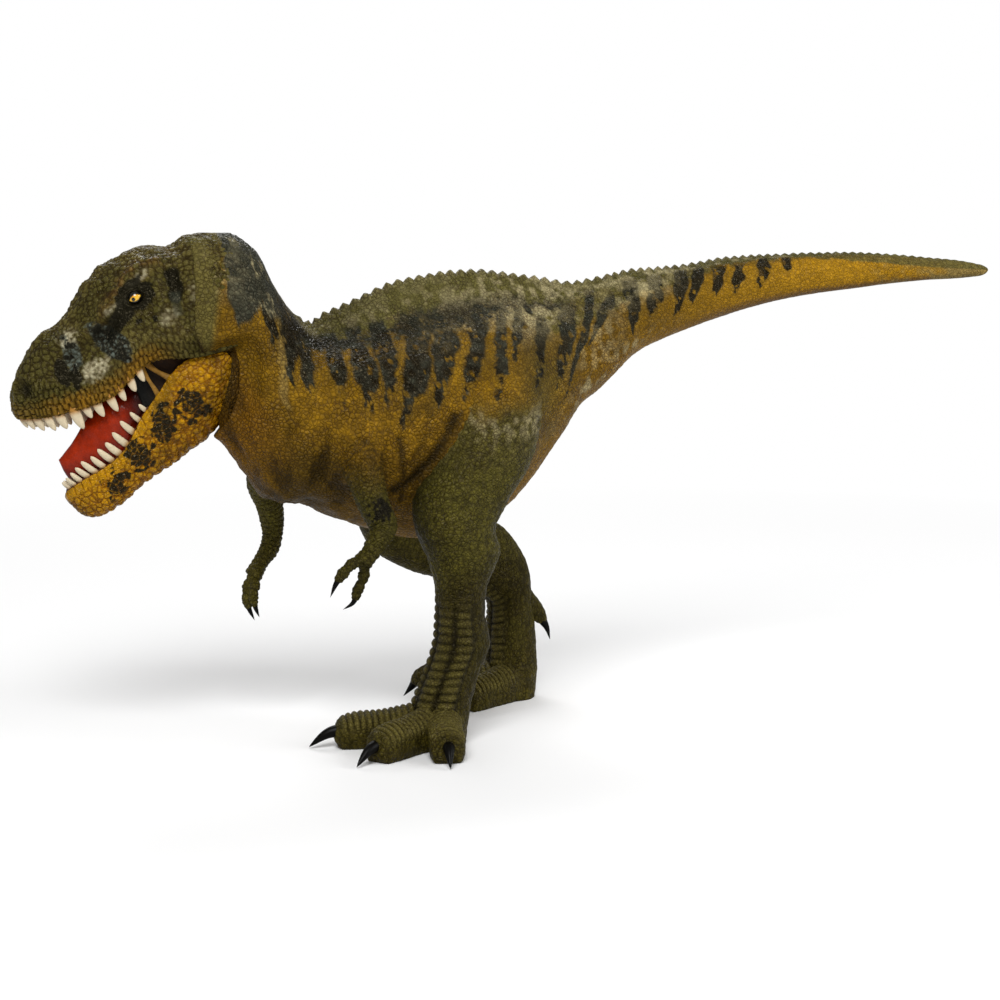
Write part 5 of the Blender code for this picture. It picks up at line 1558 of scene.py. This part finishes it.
@dataclass
class Tongue:
    """Large raised tongue with a groove, soft lumps and a lifted tip."""

    stance: Stance
    rows: int = 110
    columns: int = 72

    def build(self, finish: bpy.types.Material) -> None:
        """Make the piece: sections between the mouth floor and the tongue's top line.

        Args:
            finish: Finish of the piece.
        """
        at = np.linspace(0.225, 0.868, self.rows)
        table = read_table(TONGUE_SHARES, at)
        top = table[:, 1] * HEAD_LENGTH - 0.9 * MM * ease(0.60, 0.45, at)
        floor = read_table(JAW_SHARES, at)[:, 1] * HEAD_LENGTH - 3.4 * MM + 5.6 * MM * ease(0.70, 0.86, at)
        floor = np.minimum(floor, top - 1.4 * MM)
        half = table[:, 2] * HEAD_WIDTH / 2 * (0.80 + 0.20 * ease(0.38, 0.55, at))
        end = blunt((at - 0.83) / 0.038, 0.001)
        turn = full_turn(self.columns)
        rise = np.sign(np.cos(turn)) * np.abs(np.cos(turn)) ** 0.75
        reach = (top - floor) / 2 * end
        y = (half * end)[:, None] * np.sin(turn)
        grooved = (ease(0.82, 0.7, at) * ease(0.22, 0.35, at))[:, None]
        groove = bell(y, 0.9 * MM) * (np.cos(turn) > 0) * grooved
        z = (top - reach)[:, None] + reach[:, None] * rise - 0.8 * MM * groove
        local = np.stack((np.broadcast_to((at * HEAD_LENGTH)[:, None], z.shape), y, z), axis=-1)
        lift = layered(local, 4.5 * MM, 3, 301) * 0.45 * MM * (1 - 0.6 * ease(0.62, 0.78, at))[:, None]
        local = local + grid_normals(local) * lift[..., None]
        # Painted shade: the tongue's lower sides and its rear darken, the rear down to the mouth's near
        # black; noise also mottles the darker red.
        low = ease(0.4, -0.6, rise)[None]
        tint = coated(Paints.TONGUE,
                      (Paints.TONGUE_SHADE_AND_MOTTLE, low * 0.8 + 0.25 * layered(local, 2.5 * MM, 2, 305)),
                      (Paints.TONGUE_SHADE_AND_MOTTLE, ease(0.54, 0.40, at)[:, None]),
                      (Paints.MOUTH, ease(0.50, 0.36, at)[:, None] * 0.9))
        shell = Moulding("tongue_body", self.stance)
        shell.add(self.stance.from_head(local), tint, 0.9)
        shell.finish(finish, "jaw", "tongue_red", "tongue")


@dataclass
class Eyes:
    """Two small glossy eyes, yellow with a dark slit, set in their sockets."""

    stance: Stance
    radius: float = 2.15 * MM
    centre: tuple[float, float] = (15.7 * MM, 24.9 * MM)
    lean: float = math.radians(12)

    def build(self, finish: bpy.types.Material) -> None:
        """Make both eyes as one piece: spheres painted by the direction they look in.

        Args:
            finish: Finish of the piece.
        """
        shell = Moulding("eyes", self.stance)
        polar, turn = np.linspace(0.02, math.pi - 0.02, 40)[:, None], full_turn(56)[None]
        ball = np.stack((np.sin(polar) * np.cos(turn), np.cos(polar) * np.ones_like(turn),
                         np.sin(polar) * np.sin(turn)), axis=-1)
        half = float(read_table(SKULL_SHARES, np.array([0.27]))[0, 3]) * HEAD_WIDTH / 2
        u = ball[..., 0] * math.cos(self.lean) - ball[..., 2] * math.sin(self.lean)
        v = ball[..., 0] * math.sin(self.lean) + ball[..., 2] * math.cos(self.lean)
        lid = np.abs(v) / (0.42 * np.maximum(1 - (u / 0.82) ** 2, 0.02))
        for side in Side:
            way = -side.value
            tint = coated(Paints.EYE_YELLOW, (Paints.EYE_AMBER, ease(0.05, 0.40, v) * 0.6),
                          (Paints.BLACK, ease(1.1, 0.9, np.hypot(u - 0.26, v + 0.06) / 0.25)),
                          (Paints.BLACK, ease(0.85, 1.0, lid)),
                          (Paints.BLACK, ease(0.2, 0.0, ball[..., 1] * way)))
            middle = np.array((self.centre[0], way * (half * 0.80 - 0.35 * MM), self.centre[1]))
            shell.add(self.stance.from_head(ball * self.radius + middle), tint, 1.0)
        shell.finish(finish, "figure", "skull_hide")


@dataclass
class MouthCorner:
    """Dark cheek lining with tan straps between the skull and the jaw.

    All its lines are given in mm, for the left side, and straps have a radius too.
    """

    stance: Stance

    TOP = ((3.0, 7.6, 6.6), (8.0, 8.6, 7.4), (14.0, 8.6, 8.0), (19.0, 8.2, 7.8), (24.0, 7.8, 7.4))
    LOW = ((3.0, 7.6, 0.5), (7.5, 8.0, -0.4), (12.5, 7.8, -1.6), (17.5, 7.2, -4.2), (22.5, 6.6, -8.2))
    FAR_SIDE_ENDS = (((34.0, 6.8, 3.4),), ((33.0, 5.6, -16.0),))
    STRAPS = ((1.15, ((18.6, 9.0, 7.4), (16.6, 9.2, 4.4), (14.2, 9.0, 1.9), (12.6, 9.0, 0.2))),
              (0.95, ((20.0, 8.8, 6.6), (19.2, 8.8, 2.8), (18.2, 8.6, -0.8), (17.6, 8.2, -3.2))))

    def strap(self, way: float, radius: float, corners: tuple) -> Array:
        """A tapered round strap along a smooth line, thinnest in its middle.

        Args:
            way: Sign of the side.
            radius: Radius at its ends.
            corners: Corners of the line.

        Returns:
            The strap's grid.
        """
        path = even_rows(np.array(corners) * MM * np.array((1.0, way, 1.0)), 40)
        ahead = unit(np.gradient(path, axis=0))
        across = unit(np.cross(ahead, (0.0, 1.0, 0.0)))
        turn = full_turn(12)
        width = radius * MM * (0.55 + 0.45 * np.abs(np.linspace(-1, 1, 40)) ** 1.5)[:, None, None]
        return (path[:, None] + across[:, None] * np.cos(turn)[None, :, None] * width
                + np.cross(ahead, across)[:, None] * np.sin(turn)[None, :, None] * width * 0.6)

    def build(self, finish: bpy.types.Material) -> None:
        """Make the piece on both sides, between the figure and the jaw.

        Args:
            finish: Finish of the piece.
        """
        shell = Moulding("mouth_corner_skin", self.stance)
        down = np.linspace(0, 1, 16)[None, :, None]
        for way in (-1.0, 1.0):
            ends = self.FAR_SIDE_ENDS if way < 0 else ((), ())
            top, low = (even_rows(np.array(line + end) * MM, 30)
                        for line, end in zip((self.TOP, self.LOW), ends))
            face = top[:, None] * (1 - down) + low[:, None] * down
            face[..., 1] -= 1.4 * MM * np.sin(math.pi * down[..., 0])
            back = face[:, ::-1] - np.array((0, 0.7 * MM, 0))
            ring = np.concatenate((face, back), axis=1) * np.array((1.0, way, 1.0))
            # Dark brown lining, blended to black further forward as painted shade inside the mouth.
            tint = mixed(Paints.CHEEK, Paints.BLACK, ease(12 * MM, 22 * MM, ring[..., 0]))
            shell.add(self.stance.from_head(ring), tint, 0.3)
            for radius, corners in self.STRAPS:
                band = self.strap(way, radius, corners)
                tint = mixed(Paints.STRAP, Paints.THROAT, 0.4 + 0.5 * noise(band, 1.5 * MM, 401))
                shell.add(self.stance.from_head(band), tint, 0.5)
        piece = shell.finish(finish, "", "jaw_hide")
        start = self.stance.from_head(np.array((12.0, 0.0, 6.0)) * MM) + self.stance.shift
        end = self.stance.from_head(np.array((12.0, 0.0, -1.5)) * MM) + self.stance.shift
        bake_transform(piece)


# Limbs

@dataclass
class LimbSkin:
    """What legs and arms share: a side, a table, and the pair of pieces that each is made of."""

    stance: Stance
    side: Side
    table: Array

    def start_pair(self, limb: str, end: str) -> tuple[Moulding, Moulding]:
        """Start the limb's piece and its claws' piece."""
        label = self.side.name.lower()
        return (Moulding(f"{label}_{limb}_skin", self.stance), Moulding(f"{label}_{end}_claws", self.stance))

    def finish_pair(self, pair: tuple, limb: str, finishes: Finishes) -> None:
        """Make both pieces, which ride on the figure; the limb stands for its CAD node."""
        pair[0].finish(finishes.limb, "figure", "limb_hide", f"{self.side.name.lower()}_{limb}")
        pair[1].finish(finishes.claw, "figure", "limb_hide")


@dataclass
class LegSkin(LimbSkin):
    """One leg with ribs down its front, three toes, an inner toe and claws.

    A column of ribs has its middle, half width, pitch in mm and delay round the foot's front.
    """

    toes: tuple
    hallux: Array
    rows: int = 300
    columns: int = 150

    RIB_COLUMNS = ((0.38, 0.35, 2.6, 0.0), (1.18, 0.31, 2.5, 0.4), (-0.44, 0.32, 2.6, 0.2))

    def grid(self) -> None:
        """Lay the leg's own grid: ovals between its front and back lines."""
        table, y = self.table, self.side.value * self.table[:, 4] * BODY_WIDTH
        high, low = (np.column_stack((table[:, k] * HIP_HEIGHT, y, table[:, k + 1] * HIP_HEIGHT))
                     for k in (0, 2))
        middle = (high + low) / 2
        rows = even_rows(np.column_stack((middle, high, low, table[:, 5] * BODY_WIDTH)), self.rows)
        self.turn = full_turn(self.columns)
        front, back, half = rows[:, 3:6], rows[:, 6:9], rows[:, 9]
        share = (1 + np.cos(self.turn)) / 2
        self.plain = back[:, None] + (front - back)[:, None] * share[None, :, None]
        self.plain[..., 1] += half[:, None] * np.sin(self.turn)[None]
        self.level = self.plain[..., 2] / HIP_HEIGHT
        self.ankle = middle[-1]
        self.running = running_length(rows[:, :3])[:, None]

    def relief(self, grid: Array, out: Array, ribs: Array, others: list,
               soft: float) -> tuple[Array, Array, Array]:
        """Raise scales, ribs and soft joints on one of the leg's grids.

        Args:
            grid: The grid.
            out: Outward way at each place.
            ribs: Height of the ribs from 0 to 1.
            others: Coarse samples of the skins that it runs into.
            soft: Reach of the soft joints.

        Returns:
            Raised places, how deep each place lies in a groove, and its scale's own number.
        """
        edge, name = scale_cells(grid * np.array((1.0, 1.0, 0.8)), 1.9 * MM, 501)
        wrinkle = noise(grid * np.array((0.4, 0.4, 1.0)), 2.2 * MM, 511)
        gate = held(ribs * 1.4)
        lift = ((bead(edge) - 0.6) * 0.30 * MM * (1 - gate) + 0.12 * MM * wrinkle + 0.95 * MM * ribs
                + fillet(grid, out, others, soft))
        dip = ease(0.24, 0.03, edge) * (1 - gate) * 0.8 + held(-wrinkle) * 0.3
        return grid + out * lift[..., None], dip, name

    def turn_from_front(self) -> Array:
        """Turn round the leg from its front line, from minus pi to pi."""
        return (self.turn + math.pi) % (2 * math.pi) - math.pi

    def rib_rows(self) -> tuple[Array, Array]:
        """Rounded cross ribs in columns down the front of the foot.

        Returns:
            Height of the ribs from 0 to 1, and the columns' cover.
        """
        outward = self.turn_from_front() * self.side.value
        on = ease(0.50, 0.36, self.level)
        ribs = np.zeros_like(on)
        for centre, width, pitch, delay in self.RIB_COLUMNS:
            here = np.exp(-((outward - centre) / width) ** 4)[None]
            wave = np.abs(np.sin(math.pi * (self.running / (pitch * MM) + delay)))
            ribs = np.maximum(ribs, here * wave ** 0.6 * on)
        return ribs, (ease(-0.9, -0.7, outward) * ease(1.68, 1.48, outward))[None] * on

    def colours(self, relief: tuple, ribs: Array, cover: Array) -> Array:
        """Paint: olive thigh, darker shin, lighter ribs, dusty high spots and dark grooves.

        Args:
            relief: Places, depths and scale numbers as relief gives them.
            ribs: Height of the ribs.
            cover: Where the columns of ribs are.

        Returns:
            Colour at each place.
        """
        grid, dip, name = relief
        z = grid[..., 2] / HIP_HEIGHT
        cloud, small = layered(grid, 8 * MM, 3, 521), layered(grid, 1.8 * MM, 2, 525)
        base = coated(Paints.SHIN, (Paints.THIGH, ease(0.35, 0.62, z) + 0.4 * cloud),
                      (Paints.GREY_OLIVE, ease(0.80, 1.02, z) * 0.8), (Paints.SCUTE, ribs * 0.92))
        base = mixed(base, base * 0.12, cover * held(1 - 1.35 * ribs))
        # Painted light: the far (right) leg and the toes are lightened; the middle of the foot is darkened as
        # painted shade.
        lighter = 1.30 if self.side is Side.RIGHT else 1.0
        tone = lighter * (1 + 0.30 * ease(0.12, 0.05, z)) * (1 - 0.18 * bell(z - 0.34, 0.12))
        dust = bell(z - 0.99, 0.07) * ease(0.0, 0.9, small + 0.5 * cloud + 0.3)
        base = mixed(base * tone[..., None], Paints.DUST, dust * 0.55)
        return base * ((0.88 + 0.24 * name) * (1 - 0.62 * held(dip)))[..., None]

    def toe(self, index: int) -> tuple[Array, Array, Array, Array]:
        """One toe without its claw: a flat-soled tube of ovals, rounded off at its end.

        Args:
            index: Which toe.

        Returns:
            Places, cross ribs on top, their cover, and the claw's grid.
        """
        way = self.side.value
        degrees, share, step = self.toes[index]
        heading, length = math.radians(degrees), share * TOE_LENGTH
        root = (self.ankle + np.array((0.0, way * step * TOE_WIDTH, 0.0))) * np.array((1, 1, 0))
        ahead = np.array((-math.cos(heading), way * math.sin(heading), 0.0))
        side = np.array((-ahead[1], ahead[0], 0.0))
        along = 0.805 * (1 - (1 - np.linspace(0, 1, 110)) ** 1.5)
        rows = read_table(TOE_SHARES, along)
        end, turn = blunt((along - 0.74) / 0.065, 0.002), full_turn(64)
        rise = (np.maximum(np.cos(turn), -0.6) + 0.6) / 1.6
        low, high = rows[:, 2:3] * TOE_WIDTH, rows[:, 3:4] * TOE_WIDTH
        place = root + ahead * (length * along)[:, None]
        half = (rows[:, 1] * TOE_WIDTH / 2 * end)[:, None, None]
        grid = place[:, None] + side * half * np.sin(turn)[None, :, None]
        grid[..., 2] = 0.45 * high + (low + (high - low) * rise - 0.45 * high) * end[:, None]
        wave = np.abs(np.sin(math.pi * (length * along / (1.8 * MM))))[:, None]
        ribbed = (ease(0.05, 0.25, along) * ease(0.80, 0.70, along))[:, None]
        cover = ease(0.15, 0.65, np.cos(turn))[None] * ribbed
        level = np.linspace(0, 1, 40)
        base = root + ahead * (length * 0.75) + np.array((0, 0, 0.46 * TOE_WIDTH))
        tip = root + ahead * length + np.array((0, 0, 0.6 * MM))
        rod = base + (tip - base) * level[:, None]
        rod[:, 2] += 1.5 * MM * np.sin(math.pi * level) * (1 - 0.4 * level)
        radii = 0.18 * TOE_WIDTH * np.maximum(1 - level ** 1.6, 0.02) ** 0.8
        return grid, cover * wave ** 0.6, cover, tube_grid(rod, radii, 24)

    def build(self, finishes: Finishes, torso: list, torso_paint: Callable) -> None:
        """Make the leg and its claws.

        Args:
            finishes: All finishes.
            torso: The torso's coarse sample, in a list.
            torso_paint: Gives the torso's paint for the leg's upper end.
        """
        pair = shell, claws = self.start_pair("leg", "foot")
        toes = [self.toe(index) for index in range(len(self.toes))]
        toe_samples = [coarse(toe[0], 30, 20) for toe in toes]
        ribs, cover = self.rib_rows()
        leg_sample = coarse(self.plain, 110, 36)
        z = self.level
        front = ease(0.1, 0.8, np.cos(self.turn)) * ease(0.9, 0.5, np.sin(self.turn) * self.side.value)
        reach = (8 * MM - 6.2 * MM * front[None] * ease(1.10, 0.98, z)) * ease(0.5, 0.7, z)
        out = grid_normals(self.plain)
        plain = self.plain + out * fillet(self.plain, out, torso, reach)[..., None]
        relief = self.relief(plain, out, ribs, toe_samples, 2.5 * MM)
        shade = (bell(self.turn_from_front() + 0.25 * self.side.value, 0.65)[None] * ease(0.52, 0.66, z)
                 * ease(1.06, 0.92, z))
        tint = self.colours(relief, ribs, cover) * (1 - 0.78 * shade)[..., None]
        upper, high = ease(0.96, 1.07, z + 0.03 * noise(plain, 5 * MM, 531)), z[:, 0] > 0.9
        tint = mixed(tint, torso_paint(relief[0][high], high, tint), upper)
        shell.add(relief[0], tint, 0.3)
        for index, (grid, toe_ribs, toe_cover, claw) in enumerate(toes):
            others = [leg_sample] + [toe_samples[k] for k in range(len(toes)) if k != index]
            relief = self.relief(grid, grid_normals(grid), toe_ribs, others, 2.2 * MM)
            relief[0][..., 2] = np.maximum(relief[0][..., 2], 0.0)
            shell.add(relief[0], self.colours(relief, toe_ribs, toe_cover), 0.3)
            claws.add(claw, Paints.CLAW, 0.9)
        scale = np.array((HIP_HEIGHT, self.side.value * BODY_WIDTH, HIP_HEIGHT, HIP_HEIGHT))
        rows = even_rows(self.hallux * scale, 80)
        end, nail = 56, 50
        radii = rows[:end, 3] * np.sqrt(1 - (np.arange(end) / end) ** 6 * 0.9)
        small = tube_grid(rows[:end, :3], radii, 36)
        flat = np.zeros(small.shape[:2])
        relief = self.relief(small, grid_normals(small), flat, [leg_sample], 2 * MM)
        shell.add(relief[0], self.colours(relief, flat, flat), 0.3)
        thin = np.minimum(rows[nail:, 3], 1.5 * MM * (1 - np.linspace(0, 0.95, len(rows) - nail)))
        claws.add(tube_grid(rows[nail:, :3], thin, 20), Paints.CLAW, 0.9)
        self.finish_pair(pair, "leg", finishes)


@dataclass
class ArmSkin(LimbSkin):
    """One short arm with ring wrinkles, two fingers and claws."""

    fingers: tuple
    shoulder: tuple

    def grid(self) -> None:
        """Lay the arm's own grid from the shoulder, which lies a little deeper, to the wrist."""
        way, (place, up) = self.side.value, self.shoulder
        half = spine_line(np.array([place]))[3][0]
        start = np.array((place * BODY_LENGTH, way * half * 0.92, HIP_HEIGHT + up * BODY_DEPTH, 0.0))
        steps = self.table * np.array((1.0, way, 1.0, 1.0)) * ARM_LENGTH
        self.rows = even_rows(start + steps, 180)
        near = 1 - ease(0.0, 0.38, np.linspace(0, 1, len(self.rows)))
        self.rows[:, 1] -= way * 1.6 * MM * near
        self.plain = tube_grid(self.rows[:, :3], self.rows[:, 3], 96)

    def colours(self, relief: tuple, elbow: Array | float = 0.0) -> Array:
        """Paint: olive, darker towards the hand, with a black mark at the near elbow.

        Args:
            relief: Places, depths and scale numbers as relief gives them.
            elbow: Cover of the black mark.

        Returns:
            Colour at each place.
        """
        grid, dip, name = relief
        small = layered(grid, 1.8 * MM, 2, 621)
        base = coated(Paints.THIGH, (mixed(Paints.DEEP_OCHRE, Paints.OCHRE, 0.5 + small),
                                     ease(0.072, 0.086, grid[..., 2])),
                      (Paints.SHIN, ease(0.066, 0.050, grid[..., 2]) * 0.6),
                      (Paints.BLACK, elbow + np.zeros_like(small)))
        base = mixed(base * (0.88 + 0.24 * name)[..., None], Paints.SCUTE, ease(0.3, 0.9, small) * 0.3)
        # Painted shade on the near (left) arm and painted light on the far (right) arm.
        lighter = 0.74 if self.side is Side.LEFT else 1.25
        return base * (lighter * (1 - 0.62 * held(dip)))[..., None]

    def relief(self, grid: Array, rings: float, others: list, soft: float) -> tuple[Array, Array, Array]:
        """Raise scales and ring wrinkles, then the soft joint with the other skins.

        Args:
            grid: The grid.
            rings: Share of the ring wrinkles' height.
            others: Coarse samples of the skins that it runs into.
            soft: Reach of the soft joints.

        Returns:
            Raised places, how deep each place lies in a groove, and its scale's own number.
        """
        out = grid_normals(grid)
        edge, name = scale_cells(grid, 1.7 * MM, 601)
        dome, running = ease(0.0, 0.32, edge), running_length(grid.mean(axis=1))[:, None]
        wave = np.abs(np.sin(math.pi * (running / (1.5 * MM) + 0.5 * noise(grid, 4 * MM, 611))))
        lift = ((dome - 0.6) * 0.15 * MM + rings * (wave ** 0.7 - 0.6) * 0.42 * MM
                + fillet(grid, out, others, soft))
        return grid + out * lift[..., None], (1 - dome) * 0.6 + rings * held(0.5 - wave), name

    def build(self, finishes: Finishes, torso: list) -> None:
        """Make the arm and its claws.

        Args:
            finishes: All finishes.
            torso: The torso's coarse sample, in a list.
        """
        pair = shell, claws = self.start_pair("arm", "hand")
        scale = np.array((1.0, self.side.value, 1.0, 1.0))
        wrist = np.array((*self.rows[-1, :3], 0.0))
        fingers = [even_rows(wrist + finger * ARM_LENGTH * scale, 90) for finger in self.fingers]
        sample = coarse(self.plain, 60, 24)
        hand = [coarse(tube_grid(rows[:, :3], rows[:, 3], 24), 30, 12) for rows in fingers]
        raised, *rest = self.relief(self.plain, 0.8, torso, 5 * MM)
        out = grid_normals(raised)
        raised = raised + out * fillet(raised, out, hand, 1.8 * MM)[..., None]
        elbow = 0.0
        if self.side is Side.LEFT:
            at = self.plain[108:112].mean(axis=(0, 1)) + np.array((0.0, -3.0, 0.0)) * MM
            far = np.linalg.norm(raised - at, axis=-1)
            elbow = ease(3.4 * MM, 2.9 * MM, far + 2.0 * MM * noise(raised, 0.9 * MM, 631))
        shell.add(raised, self.colours((raised, *rest), elbow), 0.3)
        count, nail = 66, 58
        bulb = 1 + 0.10 * np.sin(np.linspace(0, 3, count) * 2 * math.pi)
        end = blunt((np.arange(count) - nail) / (count - nail), 0.02)
        for index, rows in enumerate(fingers):
            grid = tube_grid(rows[:count, :3], np.maximum(rows[:count, 3], 1.2 * MM) * bulb * end, 40)
            relief = self.relief(grid, 0.5, [sample, hand[1 - index]], 1.8 * MM)
            shell.add(relief[0], self.colours(relief), 0.3)
            radii = 0.85 * MM * np.maximum(1 - np.linspace(0, 1, len(rows) - nail) ** 1.6, 0.03)
            claws.add(tube_grid(rows[nail:, :3], radii, 18), Paints.CLAW, 0.9)
        self.finish_pair(pair, "arm", finishes)


# Studio

@dataclass
class Studio:
    """Pale floor, soft lamps, white background and the camera at the photograph's angle."""

    stance: Stance
    lens: float = 68.4
    distance: float = 0.584
    azimuth: float = -30.0
    elevation: float = 7.0
    aside: float = -0.006
    rise: float = 0.138
    floor_reach: float = 3.0

    def put(self, thing: bpy.types.Object) -> bpy.types.Object:
        """Put an object into the scene."""
        bpy.context.scene.collection.objects.link(thing)
        return thing

    def camera(self) -> None:
        """Put the camera where the figure lies in the picture as in the photograph."""
        a, e = math.radians(-self.azimuth), math.radians(self.elevation)
        right = np.array((math.cos(a), -math.sin(a), 0.0))
        depth = np.array((math.sin(a), math.cos(a), 0.0))
        up = np.array((0.0, 0.0, 1.0))
        data = bpy.data.cameras.new("camera")
        data.lens, data.sensor_width, data.clip_start = self.lens, 36.0, 0.01
        camera = self.put(bpy.data.objects.new("camera", data))
        matrix = np.eye(4)
        matrix[:3, 0], matrix[:3, 1] = right, math.sin(e) * depth + math.cos(e) * up
        matrix[:3, 2] = math.sin(e) * up - math.cos(e) * depth
        matrix[:3, 3] = self.aside * right - self.distance * depth + self.rise * up + self.stance.shift
        camera.matrix_world = Matrix(matrix.tolist())
        bpy.context.scene.camera = camera

    def lamp(self, name: str, place: tuple, size: float, power: float) -> None:
        """Add a soft square lamp that looks at the figure's middle.

        Args:
            name: Its name.
            place: Where it hangs.
            size: Edge of the square.
            power: Its power in watts.
        """
        data = bpy.data.lights.new(name, "AREA")
        data.size, data.energy = size, power
        lamp = self.put(bpy.data.objects.new(name, data))
        lamp.location = place
        way = Vector((0.0, 0.0, 0.06)) - lamp.location
        lamp.rotation_euler = way.to_track_quat("-Z", "Y").to_euler()

    def floor(self) -> None:
        """Lay a wide pale floor that looks white to the camera and keeps the shadow."""
        far = self.floor_reach
        mesh = bpy.data.meshes.new("floor")
        mesh.from_pydata([(-far, -far, 0), (far, -far, 0), (far, far, 0), (-far, far, 0)], [], [(0, 1, 2, 3)])
        bench = NodeBench(bpy.data.materials.new("pale_floor"))
        seen = bench.add("LightPath").outputs["Is Camera Ray"]
        bench.fill(bench.shader, {"Base Color": bench.blend("MIX", seen, (0.65,) * 3, (0.93,) * 3),
                                  "Roughness": 0.85, "Specular IOR Level": 0.1})
        length = bench.add("VectorMath", {0: bench.place()}, operation="LENGTH").outputs["Value"]
        white = bench.maths("MULTIPLY", bench.ranged(length, 0.24, 0.62, 0.0, 1.0), seen)
        glow = bench.add("Emission", {"Strength": 1.0}).outputs[0]
        joined = bench.add("MixShader", {0: white, 1: bench.shader.outputs[0], 2: glow})
        bench.fill(bench.tree.nodes["Material Output"], {"Surface": joined.outputs[0]})
        mesh.materials.append(bench.holder)
        self.put(bpy.data.objects.new("floor", mesh))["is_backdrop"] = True

    def sky(self) -> None:
        """White for the camera, softer grey light for everything else."""
        world = bpy.data.worlds.new("studio")
        bpy.context.scene.world = world
        bench = NodeBench(world)
        path = bench.add("LightPath").outputs
        seen = bench.maths("MAXIMUM", path["Is Camera Ray"], path["Is Transmission Ray"])
        bench.fill(bench.shader, {"Color": (1.0, 1.0, 1.0),
                                  "Strength": bench.ranged(seen, 0.0, 1.0, 0.30, 1.0)})

    def build(self) -> None:
        """Make floor, light and camera."""
        self.floor()
        self.sky()
        self.camera()
        self.lamp("key_lamp", (-0.55, -0.75, 0.95), 0.6, 12.5)
        self.lamp("fill_lamp", (0.75, -0.65, 0.60), 0.7, 5.5)
        self.lamp("back_lamp", (0.2, 0.8, 0.9), 0.6, 5.0)
        bpy.context.scene.view_settings.view_transform = "Standard"


def main() -> None:
    """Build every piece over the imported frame, then the studio."""
    logging.basicConfig(level=logging.INFO, format="%(message)s")
    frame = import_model()
    low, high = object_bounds()
    pin_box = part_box("jaw_pin")
    stance = Stance((np.array(pin_box[0]) + np.array(pin_box[1])) / 2, (np.array(low), np.array(high)))
    LOG.info("frame loaded with %d nodes, shift %s", len(frame["nodes"]), stance.shift)
    finishes = Finishes()
    torso = BodySkin(stance, "torso_skin", "figure", "torso", "hide", -0.42, TAIL_SEAM_SHARE,
                     318, 300, 3.7 * MM)
    tail = BodySkin(stance, "tail_skin", "figure", "tail", "tail_hide", TAIL_SEAM_SHARE, TAIL_TIP_SHARE,
                    420, 190, 3.0 * MM)
    skull = SkullSkin(stance, "skull_skin", "figure", "skull", "skull_hide")
    jaw = JawSkin(stance, "jaw_skin", "jaw", "lower_jaw", "jaw_hide")
    legs = (LegSkin(stance, Side.LEFT, LEFT_LEG_SHARES, LEFT_TOES_SHARES, LEFT_HALLUX_SHARES),
            LegSkin(stance, Side.RIGHT, RIGHT_LEG_SHARES, RIGHT_TOES_SHARES, RIGHT_HALLUX_SHARES))
    arms = (ArmSkin(stance, Side.LEFT, LEFT_ARM_SHARES, LEFT_FINGERS_SHARES, LEFT_SHOULDER_SHARES),
            ArmSkin(stance, Side.RIGHT, RIGHT_ARM_SHARES, RIGHT_FINGERS_SHARES, RIGHT_SHOULDER_SHARES))
    for skin in (torso, tail, skull, jaw, *legs, *arms):
        skin.grid()
    skull_sample = coarse(stance.from_head(skull.local[:, :skull.outer]), 70, 60)
    torso_sample = coarse(torso.plain, 120, 70)
    limb_samples = [coarse(leg.plain, 90, 34) for leg in legs] + [coarse(arm.plain, 50, 20) for arm in arms]
    torso.raise_skin([*limb_samples, skull_sample])
    tail.raise_skin([])
    skull.raise_skin([torso_sample])
    jaw.raise_skin()
    for skin, finish in ((torso, finishes.body), (tail, finishes.tail), (skull, finishes.head),
                         (jaw, finishes.jaw)):
        skin.build(finish)
    ToothRow(stance, "upper_tooth_row", "upper_teeth", "figure", SKULL_SHARES, UPPER_TOOTH_SHARES,
             5.6 * MM, 2.4 * MM, -1.0, 0.34, (0.0, -1.0)).build(finishes.tooth)
    ToothRow(stance, "lower_tooth_row", "lower_teeth", "jaw", JAW_SHARES, LOWER_TOOTH_SHARES,
             6.4 * MM, 1.6 * MM, 1.0, 0.37, (0.68, 0.73), 0.38, 2.4 * MM).build(finishes.tooth)
    Tongue(stance).build(finishes.tongue)
    Eyes(stance).build(finishes.eye)
    MouthCorner(stance).build(finishes.mouth)
    for leg in legs:
        leg.build(finishes, [torso_sample], torso.nearest_paint)
    for arm in arms:
        arm.build(finishes, [torso_sample])
    pin = frame["nodes"]["jaw_pin"]
    pin.data.materials.clear()
    pin.data.materials.append(finishes.steel)
    Studio(stance).build()
    bpy.context.view_layer.update()
    low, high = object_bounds()
    LOG.info("visual box %s to %s", list(low), list(high))


if __name__ == "__main__":
    main()
